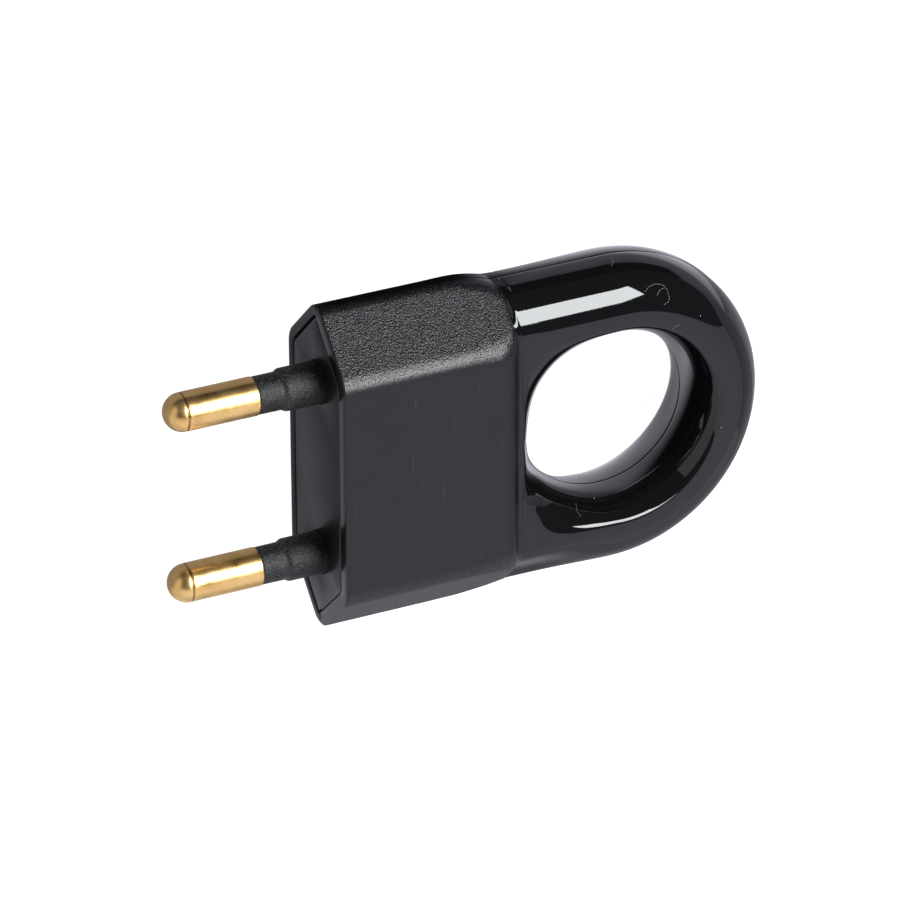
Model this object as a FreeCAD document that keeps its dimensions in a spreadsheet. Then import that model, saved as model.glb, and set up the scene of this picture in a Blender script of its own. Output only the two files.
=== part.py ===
import FreeCAD, Part
import Sketcher
import math
import os

# Two-pole plug with a pull ring, built as it comes apart on a bench.
#
# Working frame of every piece (millimetres): origin in the middle of the front
# (engagement) face, +X from that face towards the ring, so the pins point to -X;
# +Y along the width; +Z through the thickness, with the seam between the two case
# halves at Z = 0. Each piece is then placed so that the whole plug lies on the
# flat outside of the lower half: bottom at Z = 0, middle of its length and width
# at X = Y = 0.

doc = FreeCAD.newDocument("plug_with_ring")

# ---------------------------------------------------------------- dimensions
SIZES = [
    # case body
    ("case_half_width", 18.0),
    ("case_half_thick", 6.9),
    ("flat_half_width", 12.2),
    ("edge_half_thick", 0.9),
    ("case_length", 19.6),
    ("corner_start", 13.4),
    ("corner_radius", 14.7),
    ("roll_start", 17.1),
    ("roll_radius", 2.75),
    ("case_wall", 1.5),
    ("rear_wall", 1.6),
    # front opening of the lower half: a thinner lip, one step deep
    ("lip_wall", 1.1),
    ("lip_depth", 1.2),
    # groove that keeps the pin carrier from sliding
    ("groove_wall", 0.95),
    ("groove_front", 2.15),
    ("groove_width", 1.1),
    # pull ring
    ("ring_middle", 31.2),
    ("ring_half_width", 16.95),
    ("ring_half_thick", 5.4),
    ("ring_round", 5.0),
    ("ring_start", 18.5),
    ("bore_radius", 9.1),
    ("bore_bulge", 8.5),
    ("bore_lip_radius", 10.8),
    ("bore_lip_height", 5.1),
    ("bore_crest_radius", 11.4),
    ("bore_crest_round", 0.75),
    ("channel_half_width", 14.9),
    ("channel_bore_radius", 10.8),
    ("channel_start", 22.0),
    ("channel_depth", 3.2),
    ("web_width", 3.4),
    ("peg_radius", 1.0),
    ("peg_height", 1.3),
    ("peg_clearance", 0.05),
    ("peg_orbit", 12.85),
    # pin carrier
    ("carrier_clearance", 0.05),
    ("carrier_plate", 4.5),
    ("carrier_rib_wall", 1.0),
    ("carrier_rib_front", 2.2),
    ("carrier_rib_width", 1.0),
    ("cradle_length", 4.6),
    ("cradle_half_width", 3.3),
    ("cradle_bottom", 3.4),
    # pins
    ("pin_pitch", 19.36),
    ("pin_radius", 2.0),
    ("pin_reach", 16.4),
    ("pin_shoulder", 6.75),
    ("pin_core_radius", 1.5),
    ("sleeve_radius", 1.93),
    ("sleeve_taper", 0.02),
    ("collar_radius", 2.2),
    ("collar_start", 3.65),
    ("collar_step", 0.4),
    ("sleeve_clearance", 0.02),
    ("terminal_length", 6.5),
    ("terminal_half", 2.6),
    ("wire_bore_radius", 1.2),
    ("wire_bore_depth", 5.4),
    ("terminal_screw_at", 7.8),
    ("terminal_screw_radius", 1.25),
    ("terminal_screw_head", 2.0),
    ("terminal_screw_cap", 1.4),
    # case screw and nut
    ("case_screw_at", 8.25),
    ("case_screw_radius", 1.25),
    ("case_screw_hole", 1.35),
    ("case_screw_head", 2.3),
    ("case_screw_cap", 1.8),
    ("case_sink_radius", 2.5),
    ("case_sink_depth", 2.2),
    ("case_screw_end", 3.6),
    ("lower_boss_radius", 3.3),
    ("upper_boss_radius", 3.6),
    ("nut_flats", 5.0),
    ("nut_thick", 2.0),
    ("nut_seat", 3.2),
    ("nut_clearance", 0.03),
    # cord inlet and clamp
    ("inlet_at", 14.7),
    ("inlet_drop", 2.95),
    ("inlet_radius", 2.35),
    ("inlet_inner", 11.4),
    ("inlet_block", 2.95),
    ("clamp_at", 5.0),
    ("clamp_half_width", 1.5),
    ("clamp_thick", 1.3),
    ("clamp_seat", 2.0),
    ("clamp_post_at", 10.75),
    ("clamp_post_radius", 1.35),
    ("clamp_screw_radius", 0.8),
    ("clamp_screw_head", 1.05),
    ("clamp_screw_cap", 0.9),
    ("clamp_front", 9.2),
    ("clamp_rear", 17.9),
    ("clamp_arch", 0.9),
    # place of the whole plug
    ("place_back", 15.875),
    ("place_up", 6.9),
]

sheet = doc.addObject("Spreadsheet::Sheet", "Params")
for row, (alias, value) in enumerate(SIZES, start=1):
    sheet.set("A%d" % row, alias)
    sheet.set("B%d" % row, repr(value))
    sheet.setAlias("B%d" % row, alias)
doc.recompute()


class Size:
    """A dimension: its value now, and the sheet expression that drives it."""

    def __init__(self, value, text):
        self.value = float(value)
        self.text = text

    @staticmethod
    def of(other):
        if isinstance(other, Size):
            return other
        return Size(other, repr(float(other)))

    def __add__(self, other):
        other = Size.of(other)
        return Size(self.value + other.value, "(%s + %s)" % (self.text, other.text))

    def __radd__(self, other):
        return Size.of(other) + self

    def __sub__(self, other):
        other = Size.of(other)
        return Size(self.value - other.value, "(%s - %s)" % (self.text, other.text))

    def __rsub__(self, other):
        return Size.of(other) - self

    def __mul__(self, other):
        other = Size.of(other)
        return Size(self.value * other.value, "(%s * %s)" % (self.text, other.text))

    def __rmul__(self, other):
        return Size.of(other) * self

    def __truediv__(self, other):
        other = Size.of(other)
        return Size(self.value / other.value, "(%s / %s)" % (self.text, other.text))

    def __neg__(self):
        return Size(-self.value, "(0 - %s)" % self.text)


class Sheet:
    pass


S = Sheet()
for alias, _ in SIZES:
    setattr(S, alias, Size(getattr(sheet, alias), "Params.%s" % alias))


def half_angle_tan(rise, run):
    """tan of half the angle whose tangent is rise / run."""
    value = math.tan(math.atan(rise.value / run.value) / 2)
    return Size(value, "tan(atan(%s / %s) / 2)" % (rise.text, run.text))


ZERO = Size(0, "0")
bevel_rise = S.case_half_thick - S.edge_half_thick
bevel_run = S.case_half_width - S.flat_half_width
FLAT_RATIO = half_angle_tan(bevel_rise, bevel_run)
EDGE_RATIO = half_angle_tan(bevel_run, bevel_rise)


# ---------------------------------------------------------------- sketching
def new_body(name):
    body = doc.addObject("PartDesign::Body", name)
    body.Label = name
    doc.recompute()
    return body


def plane(body, role):
    for feature in body.Origin.OriginFeatures:
        if feature.Role == role:
            return feature
    raise RuntimeError("no plane %s" % role)


def new_sketch(body, name, role, offset=None):
    sketch = body.newObject("Sketcher::SketchObject", name)
    sketch.AttachmentSupport = [(plane(body, role), "")]
    sketch.MapMode = "FlatFace"
    if offset is not None:
        sketch.setExpression("AttachmentOffset.Base.z", Size.of(offset).text)
    return sketch


def pin_point(sketch, geo, pos, x, y):
    """Hold one point of the sketch at (x, y), each bound to the sheet."""
    for kind, axis, size in (("DistanceX", -2, x), ("DistanceY", -1, y)):
        size = Size.of(size)
        if abs(size.value) < 1e-9:
            sketch.addConstraint(Sketcher.Constraint("PointOnObject", geo, pos, axis))
        elif size.value > 0:
            at = sketch.addConstraint(Sketcher.Constraint(kind, -1, 1, geo, pos, size.value))
            sketch.setExpression("Constraints[%d]" % at, size.text)
        else:
            at = sketch.addConstraint(Sketcher.Constraint(kind, geo, pos, -1, 1, -size.value))
            sketch.setExpression("Constraints[%d]" % at, (-size).text)


def add_loop(sketch, points, arcs=None, flip=False):
    """A closed outline through points. arcs: {edge index: (cx, cy, ccw, fix, size)}, where the
    edge runs from point i to the next one, and fix says what pins the arc: radius, cx or cy.
    flip mirrors the outline about the sketch's horizontal axis."""
    arcs = arcs or {}
    pts = [(Size.of(x), Size.of(y)) for x, y in points]
    if flip:
        pts = [(x, -y) for x, y in pts]
    ends = []
    n = len(pts)
    for i in range(n):
        (ax, ay), (bx, by) = pts[i], pts[(i + 1) % n]
        a = FreeCAD.Vector(ax.value, ay.value, 0)
        b = FreeCAD.Vector(bx.value, by.value, 0)
        if i not in arcs:
            geo = sketch.addGeometry(Part.LineSegment(a, b), False)
            ends.append((geo, 1, 2))
            continue
        cx, cy, ccw, fix, size = arcs[i]
        cx, cy = Size.of(cx), Size.of(cy)
        if flip:
            cy, ccw = -cy, not ccw
            if fix == "cy":
                size = -Size.of(size)
        c = FreeCAD.Vector(cx.value, cy.value, 0)
        r = (a - c).Length
        a0 = math.atan2(a.y - c.y, a.x - c.x)
        a1 = math.atan2(b.y - c.y, b.x - c.x)
        if not ccw:
            a0, a1 = a1, a0
        while a1 <= a0:
            a1 += 2 * math.pi
        circle = Part.Circle(c, FreeCAD.Vector(0, 0, 1), r)
        geo = sketch.addGeometry(Part.ArcOfCircle(circle, a0, a1), False)
        ends.append((geo, 1, 2) if ccw else (geo, 2, 1))
        size = Size.of(size)
        if fix == "radius":
            at = sketch.addConstraint(Sketcher.Constraint("Radius", geo, size.value))
            sketch.setExpression("Constraints[%d]" % at, size.text)
        else:
            kind = "DistanceX" if fix == "cx" else "DistanceY"
            axis = -2 if fix == "cx" else -1
            if abs(size.value) < 1e-9:
                sketch.addConstraint(Sketcher.Constraint("PointOnObject", geo, 3, axis))
            elif size.value > 0:
                at = sketch.addConstraint(Sketcher.Constraint(kind, -1, 1, geo, 3, size.value))
                sketch.setExpression("Constraints[%d]" % at, size.text)
            else:
                at = sketch.addConstraint(Sketcher.Constraint(kind, geo, 3, -1, 1, -size.value))
                sketch.setExpression("Constraints[%d]" % at, (-size).text)
    for i in range(n):
        geo, start, _ = ends[i]
        before, _, finish = ends[i - 1]
        sketch.addConstraint(Sketcher.Constraint("Coincident", before, finish, geo, start))
        pin_point(sketch, geo, start, *pts[i])


def add_circle(sketch, x, y, radius):
    x, y, radius = Size.of(x), Size.of(y), Size.of(radius)
    centre = FreeCAD.Vector(x.value, y.value, 0)
    geo = sketch.addGeometry(Part.Circle(centre, FreeCAD.Vector(0, 0, 1), radius.value), False)
    pin_point(sketch, geo, 3, x, y)
    at = sketch.addConstraint(Sketcher.Constraint("Radius", geo, radius.value))
    sketch.setExpression("Constraints[%d]" % at, radius.text)


def add_axis(sketch, x):
    """A vertical construction line at x, to turn a profile about."""
    x = Size.of(x)
    geo = sketch.addGeometry(Part.LineSegment(FreeCAD.Vector(x.value, -2, 0), FreeCAD.Vector(x.value, 2, 0)), True)
    pin_point(sketch, geo, 1, x, Size(-2, "(0 - 2)"))
    pin_point(sketch, geo, 2, x, Size(2, "2"))
    return "Axis0"


def volume(body):
    doc.recompute()
    return body.Shape.Volume


def check_step(body, feature, before, grows):
    after = volume(body)
    if feature.State and ("Invalid" in feature.State or "Error" in feature.State):
        raise RuntimeError("%s failed" % feature.Name)
    if grows and after <= before + 1e-6:
        raise RuntimeError("%s added nothing" % feature.Name)
    if not grows and after >= before - 1e-6:
        raise RuntimeError("%s cut nothing" % feature.Name)


def start_volume(body):
    doc.recompute()
    return body.Shape.Volume if body.Tip is not None and not body.Shape.isNull() else 0.0


def pad(body, name, sketch, length, reverse=False, symmetric=False):
    before = start_volume(body)
    feature = body.newObject("PartDesign::Pad", name)
    feature.Profile = sketch
    feature.setExpression("Length", Size.of(length).text)
    feature.Reversed = reverse
    if symmetric:
        feature.SideType = "Symmetric"
    check_step(body, feature, before, True)
    return feature


def pocket(body, name, sketch, length, reverse=False, symmetric=False):
    before = start_volume(body)
    feature = body.newObject("PartDesign::Pocket", name)
    feature.Profile = sketch
    feature.setExpression("Length", Size.of(length).text)
    feature.Reversed = reverse
    if symmetric:
        feature.SideType = "Symmetric"
    check_step(body, feature, before, False)
    return feature


def turn(body, name, sketch, axis, angle=360.0, symmetric=False, cut=False):
    before = start_volume(body)
    feature = body.newObject("PartDesign::Groove" if cut else "PartDesign::Revolution", name)
    feature.Profile = sketch
    feature.ReferenceAxis = (sketch, [axis])
    feature.Angle = angle
    if symmetric:
        feature.Midplane = True
    check_step(body, feature, before, not cut)
    return feature


def place(obj, x=ZERO, y=ZERO, z=ZERO):
    """Shift a piece from its own frame into the plug's resting frame."""
    obj.setExpression("Placement.Base.x", (Size.of(x) - S.place_back).text)
    obj.setExpression("Placement.Base.y", Size.of(y).text)
    obj.setExpression("Placement.Base.z", (Size.of(z) + S.place_up).text)


# ---------------------------------------------------------------- section outlines
def half_hexagon(inset):
    """Upper half of the body's section, moved in by inset: flat top, two bevels, two short edges."""
    inset = Size.of(inset)
    side = S.case_half_width - inset
    edge = S.edge_half_thick - inset * EDGE_RATIO
    flat = S.flat_half_width - inset * FLAT_RATIO
    top = S.case_half_thick - inset
    return [(side, ZERO), (side, edge), (flat, top), (-flat, top), (-side, edge), (-side, ZERO)]


def full_hexagon(inset):
    inset = Size.of(inset)
    side = S.case_half_width - inset
    edge = S.edge_half_thick - inset * EDGE_RATIO
    flat = S.flat_half_width - inset * FLAT_RATIO
    top = S.case_half_thick - inset
    return [(side, -edge), (side, edge), (flat, top), (-flat, top),
            (-side, edge), (-side, -edge), (-flat, -top), (flat, -top)]


# ---------------------------------------------------------------- case halves
def case_half(name, upper):
    """Outer form and hollow that both moulded halves share. The upper half lies above the seam."""
    body = new_body(name)
    flip = not upper

    # body: bevelled section drawn back from the front face
    sk = new_sketch(body, name + "_section", "YZ_Plane")
    add_loop(sk, half_hexagon(0), flip=flip)
    pad(body, name + "_block", sk, S.case_length)

    # rear corners of the body, rounded in to the neck on a large radius
    end = S.case_length
    drop = math.sqrt(S.corner_radius.value ** 2 - (end.value - S.corner_start.value) ** 2)
    end_y = Size(S.case_half_width.value - S.corner_radius.value + drop,
                 "(%s - %s + sqrt(pow(%s; 2) - pow(%s - %s; 2)))" % (
                     S.case_half_width.text, S.corner_radius.text, S.corner_radius.text,
                     end.text, S.corner_start.text))
    out = S.case_half_width + 1
    far = S.case_length + 1
    sk = new_sketch(body, name + "_corners", "XY_Plane")
    centre_y = S.case_half_width - S.corner_radius
    for mirror in (False, True):
        add_loop(sk, [(S.corner_start, S.case_half_width), (end, end_y), (far, end_y), (far, out), (S.corner_start, out)],
                 {0: (S.corner_start, centre_y, False, "radius", S.corner_radius)}, flip=mirror)
    pocket(body, name + "_corner_cut", sk, S.case_half_thick + 1, reverse=upper)

    # the main face rolls down to the ring at its rear end
    roll_end = Size(S.case_half_thick.value - S.roll_radius.value + math.sqrt(
                        S.roll_radius.value ** 2 - (S.case_length.value - S.roll_start.value) ** 2),
                    "(%s - %s + sqrt(pow(%s; 2) - pow(%s - %s; 2)))" % (
                        S.case_half_thick.text, S.roll_radius.text, S.roll_radius.text,
                        S.case_length.text, S.roll_start.text))
    sk = new_sketch(body, name + "_roll", "XZ_Plane")
    add_loop(sk, [(S.roll_start, S.case_half_thick), (S.case_length, roll_end), (far, roll_end),
                  (far, S.case_half_thick + 1), (S.roll_start, S.case_half_thick + 1)],
             {0: (S.roll_start, S.case_half_thick - S.roll_radius, False, "radius", S.roll_radius)}, flip=flip)
    pocket(body, name + "_roll_cut", sk, 2 * S.case_half_width + 2, symmetric=True)

    # ring: straight flanks, then half a turn about the middle of the finger hole
    low = S.ring_half_thick - S.ring_round
    inner = S.ring_half_width - S.ring_round
    sk = new_sketch(body, name + "_flanks", "YZ_Plane", S.ring_start)
    add_loop(sk, [(S.ring_half_width, ZERO), (S.ring_half_width, low), (inner, S.ring_half_thick),
                  (-inner, S.ring_half_thick), (-S.ring_half_width, low), (-S.ring_half_width, ZERO)],
             {1: (inner, low, True, "radius", S.ring_round),
              3: (-inner, low, True, "radius", S.ring_round)}, flip=flip)
    pad(body, name + "_ring_flanks", sk, S.ring_middle - S.ring_start)

    mid = S.ring_middle
    sk = new_sketch(body, name + "_end_profile", "XZ_Plane")
    add_loop(sk, [(mid, ZERO), (mid + S.ring_half_width, ZERO), (mid + S.ring_half_width, low),
                  (mid + inner, S.ring_half_thick), (mid, S.ring_half_thick)],
             {2: (mid + inner, low, True, "radius", S.ring_round)}, flip=flip)
    axis = add_axis(sk, mid)
    turn(body, name + "_ring_end", sk, axis, 180.0, symmetric=True)

    # finger hole: narrowest at the seam, bellied out to the ring's face
    deep = S.ring_half_thick + 2
    lip = mid + S.bore_lip_radius
    sk = new_sketch(body, name + "_bore_profile", "XZ_Plane")
    # the lip's round starts in line with the belly: its centre lies on the same normal
    share = S.bore_crest_round / S.bore_bulge
    crest_c = (lip + (mid + S.bore_radius + S.bore_bulge - lip) * share,
               S.bore_lip_height - S.bore_lip_height * share)
    add_loop(sk, [(mid, ZERO), (mid + S.bore_radius, ZERO), (lip, S.bore_lip_height),
                  (mid + S.bore_crest_radius, S.ring_half_thick), (mid + S.bore_crest_radius, deep), (mid, deep)],
             {1: (mid + S.bore_radius + S.bore_bulge, ZERO, False, "radius", S.bore_bulge),
              2: (crest_c[0], crest_c[1], False, "radius", S.bore_crest_round)}, flip=flip)
    axis = add_axis(sk, mid)
    turn(body, name + "_finger_hole", sk, axis, 360.0, cut=True)

    # hollow of the body, open to the front
    sk = new_sketch(body, name + "_hollow", "YZ_Plane")
    add_loop(sk, half_hexagon(S.case_wall), flip=flip)
    pocket(body, name + "_hollow_cut", sk, S.case_length - S.rear_wall, reverse=True)

    # groove for the rib of the pin carrier
    sk = new_sketch(body, name + "_groove", "YZ_Plane", S.groove_front)
    add_loop(sk, half_hexagon(S.groove_wall), flip=flip)
    pocket(body, name + "_groove_cut", sk, S.groove_width, reverse=True)

    # channel in the ring, from the seam
    start = S.channel_start
    reach = Size(math.sqrt(S.channel_bore_radius.value ** 2 - (mid.value - start.value) ** 2),
                 "sqrt(pow(%s; 2) - pow(%s - %s; 2))" % (S.channel_bore_radius.text, mid.text, start.text))
    sk = new_sketch(body, name + "_channel", "XY_Plane")
    add_loop(sk, [(start, -S.channel_half_width), (mid, -S.channel_half_width), (mid, S.channel_half_width),
                  (start, S.channel_half_width), (start, reach), (start, -reach)],
             {1: (mid, ZERO, True, "cx", mid),
              4: (mid, ZERO, False, "radius", S.channel_bore_radius)})
    pocket(body, name + "_channel_cut", sk, S.channel_depth, reverse=upper)

    # webs across the channel that carry the locating pegs
    half = S.web_width / 2
    r0 = S.channel_bore_radius - 0.4
    r1 = S.channel_half_width + 0.4
    sk = new_sketch(body, name + "_webs", "XY_Plane")
    add_loop(sk, [(mid + r0, -half), (mid + r1, -half), (mid + r1, half), (mid + r0, half)])
    for mirror in (False, True):
        add_loop(sk, [(mid - half, r0), (mid + half, r0), (mid + half, r1), (mid - half, r1)], flip=mirror)
    pad(body, name + "_web_pads", sk, S.channel_depth + 0.3, reverse=not upper)
    return body


def peg_circles(sketch, radius):
    add_circle(sketch, S.ring_middle + S.peg_orbit, ZERO, radius)
    add_circle(sketch, S.ring_middle, S.peg_orbit, radius)
    add_circle(sketch, S.ring_middle, -S.peg_orbit, radius)


# upper half: boss with a hexagonal trap for the nut, sockets for the pegs
upper = case_half("upper_shell", True)
sk = new_sketch(upper, "upper_boss_outline", "XY_Plane")
add_circle(sk, S.case_screw_at, ZERO, S.upper_boss_radius)
pad(upper, "upper_boss", sk, S.case_half_thick - S.case_wall + 0.2)


def hexagon(sketch, x, flats):
    """Hexagon with two corners on the Y direction; flats is half its width across flats."""
    corner = flats * 2 / math.sqrt(3)
    add_loop(sketch, [(x + flats, corner / 2), (x, corner), (x - flats, corner / 2),
                      (x - flats, -corner / 2), (x, -corner), (x + flats, -corner / 2)])


sk = new_sketch(upper, "nut_trap_outline", "XY_Plane")
hexagon(sk, S.case_screw_at, S.nut_flats / 2 + S.nut_clearance)
pocket(upper, "nut_trap", sk, S.nut_seat, reverse=True)
sk = new_sketch(upper, "upper_screw_way", "XY_Plane")
add_circle(sk, S.case_screw_at, ZERO, S.case_screw_hole)
pocket(upper, "upper_screw_hole", sk, S.case_screw_end + 0.6, reverse=True)
sk = new_sketch(upper, "peg_sockets_outline", "XY_Plane")
peg_circles(sk, S.peg_radius + S.peg_clearance)
pocket(upper, "peg_sockets", sk, S.peg_height + 0.2, reverse=True)

# lower half: sunk screw hole, pegs, cord inlet, clamp post and lug
lower = case_half("lower_shell", False)
sk = new_sketch(lower, "lip_outline", "YZ_Plane")
add_loop(sk, half_hexagon(S.lip_wall), flip=True)
pocket(lower, "lip_step", sk, S.lip_depth, reverse=True)

sk = new_sketch(lower, "lower_boss_outline", "XY_Plane")
add_circle(sk, S.case_screw_at, ZERO, S.lower_boss_radius)
pad(lower, "lower_boss", sk, S.case_half_thick - S.case_wall + 0.2, reverse=True)
sk = new_sketch(lower, "screw_sink_outline", "XY_Plane", -S.case_half_thick)
add_circle(sk, S.case_screw_at, ZERO, S.case_sink_radius)
pocket(lower, "screw_sink", sk, S.case_sink_depth, reverse=True)
sk = new_sketch(lower, "lower_screw_way", "XY_Plane")
add_circle(sk, S.case_screw_at, ZERO, S.case_screw_hole)
pocket(lower, "lower_screw_hole", sk, S.case_half_thick + 1)

sk = new_sketch(lower, "pegs_outline", "XY_Plane", -S.peg_height)
peg_circles(sk, S.peg_radius)
pad(lower, "pegs", sk, 2 * S.peg_height)

# block round the cord inlet, from the floor to the seam, then the round hole through it
block = S.inlet_block
sk = new_sketch(lower, "inlet_block_section", "YZ_Plane", S.inlet_at - block)
inset = S.case_wall / 2
side = S.case_half_width - inset
edge = S.edge_half_thick - inset * EDGE_RATIO
flat = S.flat_half_width - inset * FLAT_RATIO
top = S.case_half_thick - inset
add_loop(sk, [(-side, ZERO), (-side, -edge), (-flat, -top), (-S.inlet_inner, -top), (-S.inlet_inner, ZERO)])
pad(lower, "inlet_block", sk, 2 * block)
sk = new_sketch(lower, "inlet_outline", "XZ_Plane")
add_circle(sk, S.inlet_at, -S.inlet_drop, S.inlet_radius)
pocket(lower, "cord_inlet", sk, S.case_half_width + 1, reverse=True)

# post for the clamp screw, saddle under the cord, lug over the clamp's free end
floor = S.case_half_thick - S.case_wall
sk = new_sketch(lower, "clamp_post_outline", "XY_Plane", -S.clamp_seat)
add_circle(sk, S.clamp_post_at, -S.clamp_at, S.clamp_post_radius)
pad(lower, "clamp_post", sk, floor - S.clamp_seat + 0.3, reverse=True)
sk = new_sketch(lower, "clamp_screw_way", "XY_Plane", -S.clamp_seat)
add_circle(sk, S.clamp_post_at, -S.clamp_at, S.clamp_screw_radius + 0.02)
pocket(lower, "clamp_screw_hole", sk, 2.6)
sk = new_sketch(lower, "saddle_outline", "XY_Plane", -(S.inlet_drop + S.inlet_radius - 0.3))
add_loop(sk, [(S.inlet_at - 1.6, -S.clamp_at - S.clamp_half_width), (S.inlet_at + 1.6, -S.clamp_at - S.clamp_half_width),
              (S.inlet_at + 1.6, -S.clamp_at + S.clamp_half_width), (S.inlet_at - 1.6, -S.clamp_at + S.clamp_half_width)])
pad(lower, "saddle", sk, floor - S.inlet_drop - S.inlet_radius + 0.6, reverse=True)
sk = new_sketch(lower, "lug_outline", "XY_Plane")
rear = S.case_length - S.rear_wall
add_loop(sk, [(rear - 0.55, -S.clamp_at - 1.2), (rear + 0.3, -S.clamp_at - 1.2),
              (rear + 0.3, -S.clamp_at + 1.2), (rear - 0.55, -S.clamp_at + 1.2)])
pad(lower, "clamp_lug", sk, 0.65, reverse=True)

# stops behind the carrier plate, one block on each side
sk = new_sketch(lower, "stops_outline", "XY_Plane", -0.6)
stop = S.carrier_plate + 0.05
for mirror in (False, True):
    add_loop(sk, [(stop, Size.of(13.6)), (stop + 1.0, Size.of(13.6)), (stop + 1.0, Size.of(15.6)), (stop, Size.of(15.6))],
             flip=mirror)
pad(lower, "carrier_stops", sk, 2.0, reverse=True)

# ---------------------------------------------------------------- pin carrier
carrier = new_body("pin_carrier")
inset = S.case_wall + S.carrier_clearance
sk = new_sketch(carrier, "plate_outline", "YZ_Plane")
add_loop(sk, full_hexagon(inset))
pad(carrier, "plate", sk, S.carrier_plate)
sk = new_sketch(carrier, "rib_outline", "YZ_Plane", S.carrier_rib_front)
add_loop(sk, full_hexagon(S.carrier_rib_wall))
pad(carrier, "rib", sk, S.carrier_rib_width)

pitch = S.pin_pitch / 2
for tag, sign in (("left", 1), ("right", -1)):
    at = pitch * sign
    sk = new_sketch(carrier, tag + "_cradle_outline", "YZ_Plane", S.carrier_plate - 0.3)
    add_loop(sk, [(at - S.cradle_half_width, -S.cradle_bottom), (at + S.cradle_half_width, -S.cradle_bottom),
                  (at + S.cradle_half_width, ZERO), (at - S.cradle_half_width, ZERO)])
    pad(carrier, tag + "_cradle", sk, S.cradle_length + 0.3)
    half = S.terminal_half + 0.02
    sk = new_sketch(carrier, tag + "_seat_outline", "YZ_Plane", S.carrier_plate)
    add_loop(sk, [(at - half, -half), (at + half, -half), (at + half, half), (at - half, half)])
    pocket(carrier, tag + "_seat", sk, S.cradle_length + 1, reverse=True)
sk = new_sketch(carrier, "pin_holes_outline", "YZ_Plane")
for sign in (1, -1):
    add_circle(sk, pitch * sign, ZERO, S.collar_radius + S.sleeve_clearance)
pocket(carrier, "pin_holes", sk, S.carrier_plate + 0.5, reverse=True)


# ---------------------------------------------------------------- pins and sleeves
def contact_pin(name):
    """Turned brass pin with a domed end; its inner end is a square block with a wire bore."""
    body = new_body(name)
    r, core = S.pin_radius, S.pin_core_radius
    sk = new_sketch(body, name + "_profile", "XY_Plane")
    add_loop(sk, [(-S.pin_reach, ZERO), (-S.pin_reach + r, r), (-S.pin_shoulder, r), (-S.pin_shoulder, core),
                  (S.carrier_plate + 0.5, core), (S.carrier_plate + 0.5, ZERO)],
             {0: (-S.pin_reach + r, ZERO, False, "radius", r)})
    before = start_volume(body)
    feature = body.newObject("PartDesign::Revolution", name + "_shank")
    feature.Profile = sk
    feature.ReferenceAxis = (sk, ["H_Axis"])
    feature.Angle = 360.0
    check_step(body, feature, before, True)
    half = S.terminal_half
    sk = new_sketch(body, name + "_block_outline", "YZ_Plane", S.carrier_plate)
    add_loop(sk, [(-half, -half), (half, -half), (half, half), (-half, half)])
    pad(body, name + "_block", sk, S.terminal_length)
    sk = new_sketch(body, name + "_wire_way", "YZ_Plane", S.carrier_plate + S.terminal_length)
    add_circle(sk, ZERO, ZERO, S.wire_bore_radius)
    pocket(body, name + "_wire_bore", sk, S.wire_bore_depth)
    sk = new_sketch(body, name + "_screw_way", "XY_Plane")
    add_circle(sk, S.terminal_screw_at, ZERO, S.terminal_screw_radius + 0.02)
    pocket(body, name + "_screw_hole", sk, S.terminal_half + 1, reverse=True)
    return body


def pin_sleeve(name):
    """Insulating sleeve on the root of a pin: thin part, a small step, then the collar."""
    body = new_body(name)
    sk = new_sketch(body, name + "_profile", "XY_Plane")
    core = S.pin_core_radius
    # the thin part widens a little towards the collar, as a moulded sleeve does
    add_loop(sk, [(-S.pin_shoulder, core), (-S.pin_shoulder, S.sleeve_radius),
                  (-S.collar_start - S.collar_step, S.sleeve_radius + S.sleeve_taper),
                  (-S.collar_start, S.collar_radius), (S.carrier_plate, S.collar_radius), (S.carrier_plate, core)])
    before = start_volume(body)
    feature = body.newObject("PartDesign::Revolution", name + "_tube")
    feature.Profile = sk
    feature.ReferenceAxis = (sk, ["H_Axis"])
    feature.Angle = 360.0
    check_step(body, feature, before, True)
    return body


pins = []
for tag, sign in (("left", 1), ("right", -1)):
    pin = contact_pin("contact_pin_" + tag)
    sleeve = pin_sleeve("pin_sleeve_" + tag)
    place(pin, y=pitch * sign)
    place(sleeve, y=pitch * sign)
    pins += [pin, sleeve]


# ---------------------------------------------------------------- screws, nut and clamp
def bind(obj, prop, size):
    obj.setExpression(prop, Size.of(size).text)


# terminal screws: two alike, one over each block
shank = doc.addObject("Part::Cylinder", "terminal_shank")
bind(shank, "Radius", S.terminal_screw_radius)
bind(shank, "Height", S.terminal_half + 0.3 - 0.5)
head = doc.addObject("Part::Cylinder", "terminal_head")
bind(head, "Radius", S.terminal_screw_head)
bind(head, "Height", S.terminal_screw_cap)
slot = doc.addObject("Part::Box", "terminal_slot")
bind(slot, "Length", 2 * S.terminal_screw_head + 1)
slot.Width = 0.6
slot.Height = 1.0
for item, lift in ((shank, Size.of(0.5)), (head, S.terminal_half + 0.3)):
    bind(item, "Placement.Base.x", S.terminal_screw_at)
    bind(item, "Placement.Base.y", pitch)
    bind(item, "Placement.Base.z", lift)
bind(slot, "Placement.Base.x", S.terminal_screw_at - S.terminal_screw_head - 0.5)
bind(slot, "Placement.Base.y", pitch - 0.3)
bind(slot, "Placement.Base.z", S.terminal_half + 0.3 + S.terminal_screw_cap - 0.7)
blank = doc.addObject("Part::Fuse", "terminal_blank")
blank.Base, blank.Tool = head, shank
first = doc.addObject("Part::Cut", "terminal_screw_one")
first.Base, first.Tool = blank, slot
second = doc.addObject("Part::Mirroring", "terminal_screw_two")
second.Source = first
second.Normal = FreeCAD.Vector(0, 1, 0)
terminal_screws = doc.addObject("Part::Compound", "terminal_screws")
terminal_screws.Label = "terminal_screws"
terminal_screws.Links = [first, second]
place(terminal_screws)


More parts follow.
